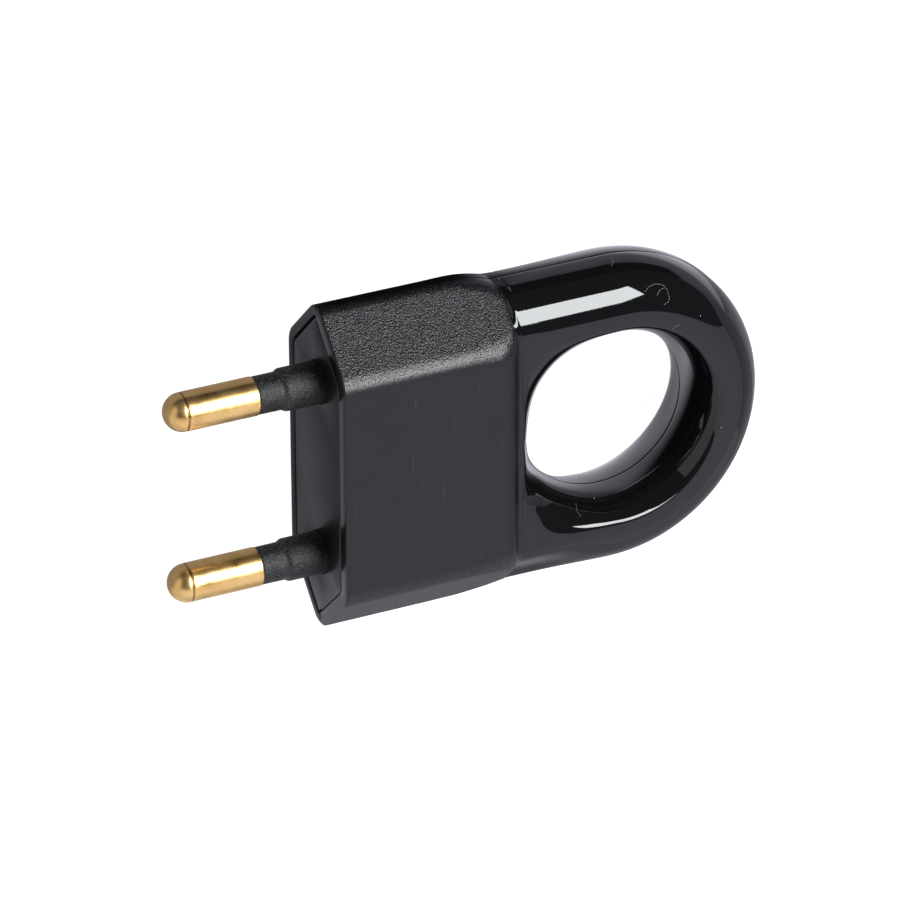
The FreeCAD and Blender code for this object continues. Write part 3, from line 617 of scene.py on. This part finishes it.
def plain_black(name, level, rough, glint_specks=0.0, scale=3000, bump_s=0.12, depth=0.00003, low=0.35, high=0.8):
    m, nt, p = material(name)
    vec = coords(nt)
    fine = noise(nt, vec, scale, 3, 0.6)
    nt.links.new(bump(nt, fine, bump_s, depth), p.inputs["Normal"])
    blot = noise(nt, vec, 300, 3, 0.5)
    nt.links.new(ramp(nt, blot, [(0.3, rough), (0.8, rough + 0.08)]), p.inputs["Roughness"])
    # base colour: plain tone on the fine noise; a speck factor above zero turns its peaks pale, painted glints
    nt.links.new(ramp(nt, fine, [(low, (level * 0.8,) * 3), (high, (level * (1 + glint_specks),) * 3)]), p.inputs["Base Color"])
    p.inputs["IOR"].default_value = 1.5
    return m


def brass():
    m, nt, p = material("polished_brass")
    vec = coords(nt)
    p.inputs["Metallic"].default_value = 1.0
    stain = noise(nt, vec, 420, 5, 0.65)
    plain = ramp(nt, stain, [(0.25, (0.74, 0.42, 0.14)), (0.55, (0.92, 0.61, 0.24)), (0.85, (0.97, 0.73, 0.37))])
    # painted shade: a dark line in the small groove at the foot of the dome
    xyz = nt.nodes.new("ShaderNodeSeparateXYZ")
    nt.links.new(coords(nt, (1000, 1000, 1000)), xyz.inputs[0])
    off = math_node(nt, "ABSOLUTE", math_node(nt, "ADD", xyz.outputs["X"], 14.41 + BACK), 0.0)
    groove_shade = ramp(nt, off, [(0.03, 1.0), (0.17, 0.0)])
    nt.links.new(mix_color(nt, groove_shade, plain, (0.36, 0.19, 0.06)), p.inputs["Base Color"])
    lines = noise(nt, coords(nt, (1.0, 0.06, 0.06)), 9000, 3, 0.6)
    along = noise(nt, coords(nt, (0.05, 1.0, 1.0)), 5200, 3, 0.6)
    n1 = bump(nt, lines, 0.09, 0.00001)
    n2 = bump(nt, along, 0.14, 0.000012, n1)
    nt.links.new(n2, p.inputs["Normal"])
    nt.links.new(ramp(nt, stain, [(0.3, 0.26), (0.8, 0.40)]), p.inputs["Roughness"])
    return m


def steel(name="zinc_plate"):
    m, nt, p = material(name)
    vec = coords(nt)
    p.inputs["Metallic"].default_value = 1.0
    t = noise(nt, vec, 900, 4, 0.6)
    nt.links.new(ramp(nt, t, [(0.3, (0.50, 0.50, 0.48)), (0.8, (0.68, 0.68, 0.66))]), p.inputs["Base Color"])
    nt.links.new(bump(nt, noise(nt, vec, 5000, 2, 0.5), 0.1, 0.00001), p.inputs["Normal"])
    nt.links.new(ramp(nt, t, [(0.3, 0.25), (0.8, 0.42)]), p.inputs["Roughness"])
    return m


MAT_SATIN = satin_black()
MAT_GLOSS = gloss_black()
MAT_RIM = plain_black("case_rim", 0.006, 0.16, scale=2400, bump_s=0.05)
MAT_INSIDE = plain_black("case_inside", 0.008, 0.45)
# painted shade: the seam's land and the rounding of its edges are near black with little gloss, so the seam reads as a
# dark line
MAT_SEAM_SHADE = plain_black("seam_painted_shade", 0.0012, 0.80)
MAT_SEAM_SHADE.node_tree.nodes["Principled BSDF"].inputs["Specular IOR Level"].default_value = 0.05
MAT_CARRIER = plain_black("carrier_satin", 0.005, 0.27, scale=3200, bump_s=0.16)
# the sleeve's pale specks are painted glints
MAT_SLEEVE = plain_black("sleeve_dull", 0.0038, 0.40, glint_specks=15.0, scale=6200, bump_s=0.9, depth=0.00010, low=0.55, high=0.61)
MAT_BRASS = brass()
MAT_STEEL = steel()
MAT_HAIR = plain_black("pale_hair", 0.22, 0.5, scale=4000)
MAT_CLAMP = plain_black("clamp_plastic", 0.05, 0.5)


def dress(obj, *mats):
    obj.data.materials.clear()
    for m in mats:
        obj.data.materials.append(m)


# ---------------------------------------------------------------- turned pieces
def lathe(bd, profile, y, n=128, mat=0, close_start=True, close_end=True):
    """Turns a profile of (x, r) about the line at y that runs along X."""
    a = np.linspace(0, 2 * math.pi, n, endpoint=False)
    rows = []
    for x, r in profile:
        if r < 1e-6:
            tip = bd.add(np.array([[x, y, 0.0]]))
            rows.append(np.full(n, tip[0]))
        else:
            rows.append(bd.add(np.column_stack([np.full(n, x), y + r * np.cos(a), r * np.sin(a)])))
    bd.strip(np.array(rows), mat, close=True)
    return rows


def arc(cx, cr, r, a0, a1, n):
    a = np.radians(np.linspace(a0, a1, n))
    return [(cx + r * math.cos(t), cr + r * math.sin(t)) for t in a]


def pin(name, y, node_name):
    bd = Build()
    prof = [(-16.4, 0.0)]
    prof += arc(-14.4, 0.0, 2.0, 176, 98, 26)
    prof += [(-14.52, 1.985), (-14.44, 1.945), (-14.38, 1.945), (-14.29, 1.994), (-14.2, 2.0), (-12.5, 2.0), (-10.5, 2.0), (-8.5, 2.0), (-7.2, 2.0), (-6.95, 2.0)]
    prof += arc(-6.93, 1.82, 0.18, 90, 0, 7)
    prof += [(-6.75, 1.6), (-6.75, 1.5), (0.0, 1.5), (4.5, 1.5), (4.5, 1.5)]
    lathe(bd, prof[:-1], y, 144)
    # terminal block behind the carrier plate
    h = 2.6
    c = 0.15
    b = []
    for x, k in ((4.5, h - c), (4.5 + c, h), (11.0 - c, h), (11.0, h - c)):
        pts = []
        for sy, sz in ((1, -1), (1, 1), (-1, 1), (-1, -1)):
            pts.append([x, y + sy * k, sz * k])
        b.append(bd.add(np.array(pts)))
    bd.strip(np.array(b), 0, close=True)
    a = np.linspace(0, 2 * math.pi, 48, endpoint=False)
    mouth = bd.add(np.column_stack([np.full(48, 11.0), y + 1.3 * np.cos(a), 1.3 * np.sin(a)]))
    wall0 = bd.add(np.column_stack([np.full(48, 10.9), y + 1.2 * np.cos(a), 1.2 * np.sin(a)]))
    wall1 = bd.add(np.column_stack([np.full(48, 5.6), y + 1.2 * np.cos(a), 1.2 * np.sin(a)]))
    bd.strip(np.array([mouth, wall0, wall1]), 0, close=True)
    bd.face(wall1)
    bd.plane_fill([list(b[-1]), list(mouth)], (1, 2))
    base = bd.add(np.column_stack([np.full(144, 4.5), y + 1.5 * np.cos(np.linspace(0, 2 * math.pi, 144, endpoint=False)),
                                   1.5 * np.sin(np.linspace(0, 2 * math.pi, 144, endpoint=False))]))
    bd.plane_fill([list(b[0]), list(base)], (1, 2))
    obj = bd.make(name, [MAT_BRASS], smooth=35)
    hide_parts(node_name)
    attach(obj, "root")
    return obj


def sleeve(name, y, node_name):
    bd = Build()
    prof = [(-6.75, 1.52), (-6.75, 1.80)]
    prof += arc(-6.65, 1.83, 0.10, 180, 90, 5)
    prof += [(-6.2, 1.935), (-5.2, 1.94), (-4.35, 1.945)]
    for t in np.linspace(0, 1, 13)[1:]:
        prof.append((-4.30 + 0.62 * t, 1.945 + 0.245 * float(smooth(0, 1, t))))
    prof += [(-3.2, 2.195), (-1.5, 2.2), (-0.12, 2.2), (-0.02, 2.2), (4.5, 2.2), (4.5, 1.52), (-6.75, 1.52)]
    lathe(bd, prof, y, 128)
    obj = bd.make(name, [MAT_SLEEVE], smooth=40)
    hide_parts(node_name)
    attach(obj, "root")
    return obj


# ---------------------------------------------------------------- the carrier
def carrier():
    bd = Build()
    rows = []
    up, dn = 1.56, 1.26
    for x, ch in ((0.0, 0.24), (0.045, 0.13), (0.13, 0.045), (0.26, 0.0), (1.1, 0.0)):
        yz, _ = section(0.0, up + ch, low=0.0)
        lo, _ = section(0.0, dn + ch, low=0.0)
        lo = lo * np.array([1, -1])
        ring = np.vstack([yz, lo[::-1]])
        rows.append(bd.add(np.column_stack([np.full(len(ring), x), ring])))
    for x, ch in ((1.1, 1.56), (4.5, 1.56)):
        yz, _ = section(0.0, ch, low=0.0)
        lo = (yz * np.array([1, -1]))[::-1]
        ring = np.vstack([yz, lo])
        rows.append(bd.add(np.column_stack([np.full(len(ring), x), ring])))
    rows = np.array(rows)
    bd.strip(rows, 0, close=True)
    # front and back faces with the holes for the sleeves
    a = np.linspace(0, 2 * math.pi, 96, endpoint=False)
    holes = []
    for y in (9.68, -9.68):
        stack = []
        for x, r in ((0.0, 2.33), (0.03, 2.26), (0.1, 2.225), (4.5, 2.225)):
            stack.append(bd.add(np.column_stack([np.full(96, x), y + r * np.cos(a), r * np.sin(a)])))
        bd.strip(np.array(stack), 0, close=True)
        holes.append(stack)

    def uniq(ids):
        out = []
        for i in ids:
            if not out or np.linalg.norm(np.array(bd.v[i]) - np.array(bd.v[out[-1]])) > 1e-4:
                out.append(int(i))
        if np.linalg.norm(np.array(bd.v[out[0]]) - np.array(bd.v[out[-1]])) < 1e-4:
            out.pop()
        return out

    bd.plane_fill([uniq(rows[0]), list(holes[0][0]), list(holes[1][0])], (1, 2))
    bd.plane_fill([uniq(rows[-1]), list(holes[0][-1]), list(holes[1][-1])], (1, 2))
    obj = bd.make("pin_carrier_plate", [MAT_CARRIER], smooth=50)
    return obj


# ---------------------------------------------------------------- assemble
CASE_MATS = [MAT_SATIN, MAT_GLOSS, MAT_RIM, MAT_INSIDE, MAT_SEAM_SHADE]
upper = shell(1.5, None, lean=(0.0, 0.36)).make("upper_case_half", CASE_MATS, smooth=60)
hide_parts("upper_shell")
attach(upper, "root")

def rod(name, axis, centre, profile, mat, n=96):
    """Closed round body along an axis; profile lists (place on the axis, radius)."""
    bd = Build()
    a = np.linspace(0, 2 * math.pi, n, endpoint=False)
    k1, k2 = [k for k in range(3) if k != axis]
    rows = []
    for t, r in profile:
        p = np.zeros((n, 3))
        p[:, axis] = t
        p[:, k1] = centre[0] + r * np.cos(a)
        p[:, k2] = centre[1] + r * np.sin(a)
        rows.append(bd.add(p))
    bd.strip(np.array(rows), mat, close=True)
    bd.face(rows[0], mat)
    bd.face(rows[-1], mat)
    return bd.make(name, CASE_MATS, smooth=60)


def prism(name, x0, x1, yz, mat):
    bd = Build()
    yz = np.array(yz, float)
    rows = [bd.add(np.column_stack([np.full(len(yz), x), yz])) for x in (x0, x1)]
    bd.strip(np.array(rows), mat, close=True)
    bd.face(rows[0], mat)
    bd.face(rows[1], mat)
    return bd.make(name, CASE_MATS, smooth=60)


def carve(obj, steps):
    """Joins or cuts closed bodies, then works the sharp edges out again."""
    for other, how in steps:
        mod = obj.modifiers.new("carve", "BOOLEAN")
        mod.operation = how
        mod.solver = "EXACT"
        mod.object = other
        graph = bpy.context.evaluated_depsgraph_get()
        mesh = bpy.data.meshes.new_from_object(obj.evaluated_get(graph))
        obj.modifiers.clear()
        obj.data = mesh
        bpy.data.objects.remove(other)
    bm = bmesh.new()
    bm.from_mesh(obj.data)
    bmesh.ops.remove_doubles(bm, verts=bm.verts, dist=2e-6)
    bmesh.ops.dissolve_degenerate(bm, edges=bm.edges, dist=1e-6)
    rim = [e for e in bm.edges if e.is_boundary]
    if rim:
        bmesh.ops.holes_fill(bm, edges=rim, sides=0)
    bmesh.ops.recalc_face_normals(bm, faces=bm.faces)
    for e in bm.edges:
        e.smooth = not (len(e.link_faces) == 2 and e.calc_face_angle(0) > math.radians(45))
    print("CARVED", obj.name, "faces", len(bm.faces), "open edges", sum(1 for e in bm.edges if not e.is_manifold))
    bm.to_mesh(obj.data)
    bm.free()


lower = shell(1.05, (1.2, 1.5), lean=(0.40, 0.40), grow=(-0.5, 2.4)).make("lower_case_half", CASE_MATS, mirror=True, smooth=60)
SCREW_X, INLET_X, INLET_Z = 8.25, 14.7, -2.95
carve(lower, [
    (rod("boss", 2, (SCREW_X, 0.0), [(-6.0, 3.3), (-1.2, 3.3)], M_INSIDE), "UNION"),
    (prism("block", 11.75, 17.65, [(-11.4, -0.3), (-16.9, -0.3), (-16.9, -1.3), (-12.0, -6.0), (-11.4, -6.0)], M_INSIDE), "UNION"),
    (rod("sink", 2, (SCREW_X, 0.0), [(-7.3, 2.5), (-4.7, 2.5)], M_SATIN), "DIFFERENCE"),
    (rod("hole", 2, (SCREW_X, 0.0), [(-5.2, 1.35), (-0.6, 1.35)], M_INSIDE), "DIFFERENCE"),
    # a few thousandths of a millimetre off the lines of the skin's mesh, so that the cut is clean
    (rod("inlet", 1, (INLET_X + 0.003, INLET_Z + 0.002), [(-19.5, 2.35), (-10.8, 2.35)], M_INSIDE, n=95), "DIFFERENCE"),
])
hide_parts("lower_shell")
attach(lower, "root")

def hairs(lines, radius=0.02):
    """Thin loose hairs that lie on the ring, as closed tubes; z is that of the surface they lie on."""
    bd = Build()
    a = np.linspace(0, 2 * math.pi, 6, endpoint=False)
    for line in lines:
        q = np.array(line, float)
        t = np.linspace(0, len(q) - 1, 7 * (len(q) - 1) + 1)
        i = np.minimum(t.astype(int), len(q) - 2)
        u = (t - i)[:, None]
        before, after = q[np.maximum(i - 1, 0)], q[np.minimum(i + 2, len(q) - 1)]
        p0, p1 = q[i], q[i + 1]
        c = 0.5 * (2 * p0 + (p1 - before) * u + (2 * before - 5 * p0 + 4 * p1 - after) * u ** 2 + (3 * p0 - before - 3 * p1 + after) * u ** 3)
        tan = np.gradient(c, axis=0)
        tan /= np.linalg.norm(tan, axis=1)[:, None]
        out = np.array([0.0, 0.5, 0.85])
        side = np.cross(tan, out)
        side /= np.linalg.norm(side, axis=1)[:, None]
        up = np.cross(side, tan)
        rows = np.array([bd.add(c[k] + radius * 0.9 * up[k] + radius * (np.cos(a)[:, None] * side[k] + np.sin(a)[:, None] * up[k]))
                         for k in range(len(c))])
        bd.strip(rows, 0, close=True)
        bd.face(rows[0])
        bd.face(rows[-1])
    return bd.make("loose_hairs", [MAT_HAIR], smooth=80)


loose = hairs([
    [(33.88, 14.33, 4.65), (34.46, 14.63, 4.37), (35.35, 14.67, 4.16), (36.21, 14.29, 4.25), (36.47, 13.63, 4.63), (36.43, 13.0, 4.96), (35.77, 12.68, 5.16)],
    [(35.13, 13.69, 4.84), (35.62, 14.10, 4.52), (36.14, 14.14, 4.38)],
    [(31.85, 16.92, 0.82), (31.76, 16.77, 1.67), (31.31, 16.64, 2.13)],
    [(36.59, 9.78, 5.4), (36.92, 10.04, 5.4), (37.37, 10.17, 5.4)],
    [(27.00, -8.86, 3.39), (26.66, -9.23, 4.33), (26.90, -9.65, 4.76)],
])
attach(loose, "root")

plate = carrier()
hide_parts("pin_carrier")
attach(plate, "root")

pin("brass_pin_left", 9.68, "contact_pin_left")
pin("brass_pin_right", -9.68, "contact_pin_right")
sleeve("pin_collar_left", 9.68, "pin_sleeve_left")
sleeve("pin_collar_right", -9.68, "pin_sleeve_right")

for name, mat in (("terminal_screws", MAT_STEEL), ("case_screw", MAT_STEEL), ("case_nut", MAT_STEEL),
                  ("cord_clamp_screw", MAT_STEEL), ("cord_clamp", MAT_CLAMP)):
    dress(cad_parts[name], mat)


# ---------------------------------------------------------------- stage and light
def quad(name, corners, mat, **flags):
    mesh = bpy.data.meshes.new(name)
    mesh.from_pydata([tuple(q) for q in to_row(corners)], [], [tuple(range(len(corners)))])
    mesh.materials.append(mat)
    o = bpy.data.objects.new(name, mesh)
    bpy.context.scene.collection.objects.link(o)
    for k, v in flags.items():
        setattr(o, k, v)
    return o


def emission(name, color, strength):
    m = bpy.data.materials.new(name)
    m.use_nodes = True
    nt = m.node_tree
    nt.nodes.clear()
    out = nt.nodes.new("ShaderNodeOutputMaterial")
    e = nt.nodes.new("ShaderNodeEmission")
    e.inputs[0].default_value = (*color, 1)
    e.inputs[1].default_value = strength
    nt.links.new(e.outputs[0], out.inputs[0])
    return m


def floor_material():
    """Plain pale table. The camera sees it evenly white with soft shadows; what the object mirrors of it is painted
    light, an emission that is dim in front and under the neck (painted shade) and bright beside the ring, as on a table
    lit from one side."""
    m = bpy.data.materials.new("floor_pale")
    m.use_nodes = True
    nt = m.node_tree
    nt.nodes.clear()
    out = nt.nodes.new("ShaderNodeOutputMaterial")
    flat = nt.nodes.new("ShaderNodeBsdfDiffuse")
    flat.inputs[0].default_value = (0.35, 0.35, 0.355, 1)
    lift = nt.nodes.new("ShaderNodeEmission")
    lift.inputs[0].default_value = (1, 1, 1, 1)
    lift.inputs[1].default_value = FLOOR_LIFT
    seen = nt.nodes.new("ShaderNodeAddShader")
    nt.links.new(flat.outputs[0], seen.inputs[0])
    nt.links.new(lift.outputs[0], seen.inputs[1])
    xyz = nt.nodes.new("ShaderNodeSeparateXYZ")
    nt.links.new(coords(nt, (1000, 1000, 1000)), xyz.inputs[0])

    def step(source, low, high):
        r = nt.nodes.new("ShaderNodeMapRange")
        r.interpolation_type = "SMOOTHSTEP"
        nt.links.new(source, r.inputs["Value"])
        r.inputs["From Min"].default_value = low
        r.inputs["From Max"].default_value = high
        return r.outputs[0]

    # object coordinates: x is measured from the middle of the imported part, 15.9 mm behind the face
    front = math_node(nt, "SUBTRACT", 1.0, step(xyz.outputs["X"], -18.0, -11.0))
    near_y = math_node(nt, "SUBTRACT", 1.0, step(xyz.outputs["Y"], -25.0, -12.0))
    def less(source, low, high, amount=1.0):
        return math_node(nt, "SUBTRACT", 1.0, math_node(nt, "MULTIPLY", step(source, low, high), amount))

    def times(*factors):
        out = factors[0]
        for f in factors[1:]:
            out = math_node(nt, "MULTIPLY", out, f)
        return out

    fx, fy = xyz.outputs["X"], xyz.outputs["Y"]
    below = times(step(fx, 10.0, 19.0), step(fy, -22.0, -10.0), less(fy, 2.0, 14.0, 0.5), less(fy, 17.0, 22.0), less(fx, 19.0, 25.0, 0.68))
    right = times(step(fx, 26.0, 32.0), step(fy, -22.0, -10.0), less(fy, 17.0, 22.0))
    beside = times(step(fx, 4.0, 12.0), step(fy, 17.0, 22.0))
    close = times(step(fx, 3.0, 10.0), step(fy, 11.0, 14.0), less(fy, 18.5, 21.5))
    # painted light and shade, seen only by rays other than camera rays: the table's brightness built up by place, dim
    # in front and under the neck, bright under and beside the ring
    level = math_node(nt, "ADD", 0.006, math_node(nt, "MULTIPLY", front, 0.32))
    level = math_node(nt, "ADD", level, math_node(nt, "MULTIPLY", near_y, 0.43))
    level = math_node(nt, "ADD", level, math_node(nt, "MULTIPLY", below, 1.25))
    level = math_node(nt, "ADD", level, math_node(nt, "MULTIPLY", right, 0.20))
    level = math_node(nt, "ADD", level, math_node(nt, "MULTIPLY", beside, 0.55))
    level = math_node(nt, "ADD", level, math_node(nt, "MULTIPLY", close, 1.00))
    # the light falls off on the +Y side, less far to the right
    edge = math_node(nt, "SUBTRACT", xyz.outputs["Y"], math_node(nt, "MULTIPLY", math_node(nt, "MAXIMUM", math_node(nt, "SUBTRACT", xyz.outputs["X"], 50.0), 0.0), 0.48))
    level = math_node(nt, "MULTIPLY", level, math_node(nt, "SUBTRACT", 1.0, math_node(nt, "MULTIPLY", step(edge, 31.0, 36.0), 0.97)))
    painted_mirror_light = nt.nodes.new("ShaderNodeEmission")
    painted_mirror_light.inputs[0].default_value = (0.94, 0.95, 1.06, 1)
    nt.links.new(level, painted_mirror_light.inputs[1])
    path = nt.nodes.new("ShaderNodeLightPath")
    mix = nt.nodes.new("ShaderNodeMixShader")
    nt.links.new(path.outputs["Is Camera Ray"], mix.inputs[0])
    nt.links.new(painted_mirror_light.outputs[0], mix.inputs[1])
    nt.links.new(seen.outputs[0], mix.inputs[2])
    nt.links.new(mix.outputs[0], out.inputs[0])
    return m


FLOOR_LIFT = 0.97
quad("floor", [(-2600, -2600, -6.92), (2600, -2600, -6.92), (2600, 2600, -6.92), (-2600, 2600, -6.92)], floor_material())

HERE = np.array([25.0, 8.0, 3.0])


def aim(direction, dist):
    d = np.array(direction, float)
    return HERE + d / np.linalg.norm(d) * dist


# bright softbox, mirrored by the ring's upper flank as a sharp strip
facing = np.array([0.42, 0.50, 0.75])
facing /= np.linalg.norm(facing)


def on_plane(direction, dist):
    """Where a direction from the object meets the plane of the softbox."""
    d = np.array(direction, float)
    return HERE + d * dist / (d @ facing)


D_BOX = 520.0
br = on_plane((0.558, 0.382, 0.737), D_BOX)
tr = on_plane((0.474, 0.685, 0.553), D_BOX)
bl = on_plane((0.388, 0.240, 0.892), D_BOX)
tl = on_plane((0.388, 0.680, 0.620), D_BOX)
bl = br + (bl - br) * 3.0
tl = tr + (tl - tr) * 4.4
quad("softbox", [tuple(q) for q in (bl, br, tr, tl)], emission("softbox_light", (0.96, 0.985, 1.0), 17.0), visible_camera=False)

# broad pale screens: overhead on the -Y side, down to the floor there and to the front


def graded(name, axis, span, stops):
    """Screen whose brightness changes along one of its own axes."""
    m = emission(name, (0.95, 0.95, 1.08), 1.0)
    nt = m.node_tree
    xyz = nt.nodes.new("ShaderNodeSeparateXYZ")
    nt.links.new(coords(nt, (1 / span, 1 / span, 1 / span)), xyz.inputs[0])
    nt.links.new(ramp(nt, xyz.outputs[axis], stops), nt.nodes["Emission"].inputs[1])
    return m


overhead = graded("overhead_light", "X", 1.5, [(0.20, 0.95), (0.42, 0.84), (0.66, 0.70)])
side_light = graded("side_light", "Z", 0.62, [(0.0, 0.50), (0.5, 0.60), (1.0, 0.95)])
H = 620.0
quad("screen_top", [(-900, -0.235 * H, H), (1500, -0.205 * H, H), (1500, -1100, H), (-900, -1100, H)], overhead, visible_camera=False)
quad("screen_side", [(-900, -1100, H), (1500, -1100, H), (1500, -1100, -6), (-900, -1100, -6)], side_light, visible_camera=False)
quad("screen_right", [(1500, -1100, -6), (1500, 804, -6), (1500, 340, 175), (1500, -90, H), (1500, -1100, H)],
     emission("right_light", (0.95, 0.95, 1.08), 0.42), visible_camera=False)
quad("screen_front", [(-900, -1100, -6), (-900, 900, -6), (-900, 900, H), (-900, -1100, H)],
     emission("front_light", (1, 1, 1), 0.75), visible_camera=False)

world = bpy.data.worlds.new("studio")
bpy.context.scene.world = world
world.use_nodes = True
wn = world.node_tree
bg = wn.nodes["Background"]
bg.inputs[0].default_value = (0.070, 0.074, 0.082, 1)
bg.inputs[1].default_value = 1.0
pale = wn.nodes.new("ShaderNodeBackground")
pale.inputs[0].default_value = (0.93, 0.93, 0.94, 1)
lp = wn.nodes.new("ShaderNodeLightPath")
mixw = wn.nodes.new("ShaderNodeMixShader")
wn.links.new(lp.outputs["Is Camera Ray"], mixw.inputs[0])
wn.links.new(bg.outputs[0], mixw.inputs[1])
wn.links.new(pale.outputs[0], mixw.inputs[2])
wn.links.new(mixw.outputs[0], wn.nodes["World Output"].inputs[0])

# ---------------------------------------------------------------- camera
ROT = (-2.5808, 0.1520, -0.5708)


def rodrigues(v):
    v = np.array(v, float)
    a = np.linalg.norm(v)
    k = v / a
    kx = np.array([[0, -k[2], k[1]], [k[2], 0, -k[0]], [-k[1], k[0], 0]])
    return np.eye(3) + math.sin(a) * kx + (1 - math.cos(a)) * kx @ kx


R = rodrigues(ROT)
T = np.array([-13.5008, 1.7837, 649.5976]) * 0.975
eye = -R.T @ T
cam_data = bpy.data.cameras.new("camera")
cam_data.sensor_width = 36.0
cam_data.lens = 254.5
cam_data.clip_start = 0.01
cam_data.clip_end = 20.0
cam = bpy.data.objects.new("camera", cam_data)
bpy.context.scene.collection.objects.link(cam)
turn = R.T @ np.diag([1.0, -1.0, -1.0])
cam.matrix_world = Matrix.Translation(Vector(to_row(eye)[0])) @ Matrix([[*turn[i], 0] for i in range(3)] + [[0, 0, 0, 1]])
bpy.context.scene.camera = cam
bpy.context.scene.view_settings.view_transform = "Standard"
bpy.context.scene.view_settings.look = "None"
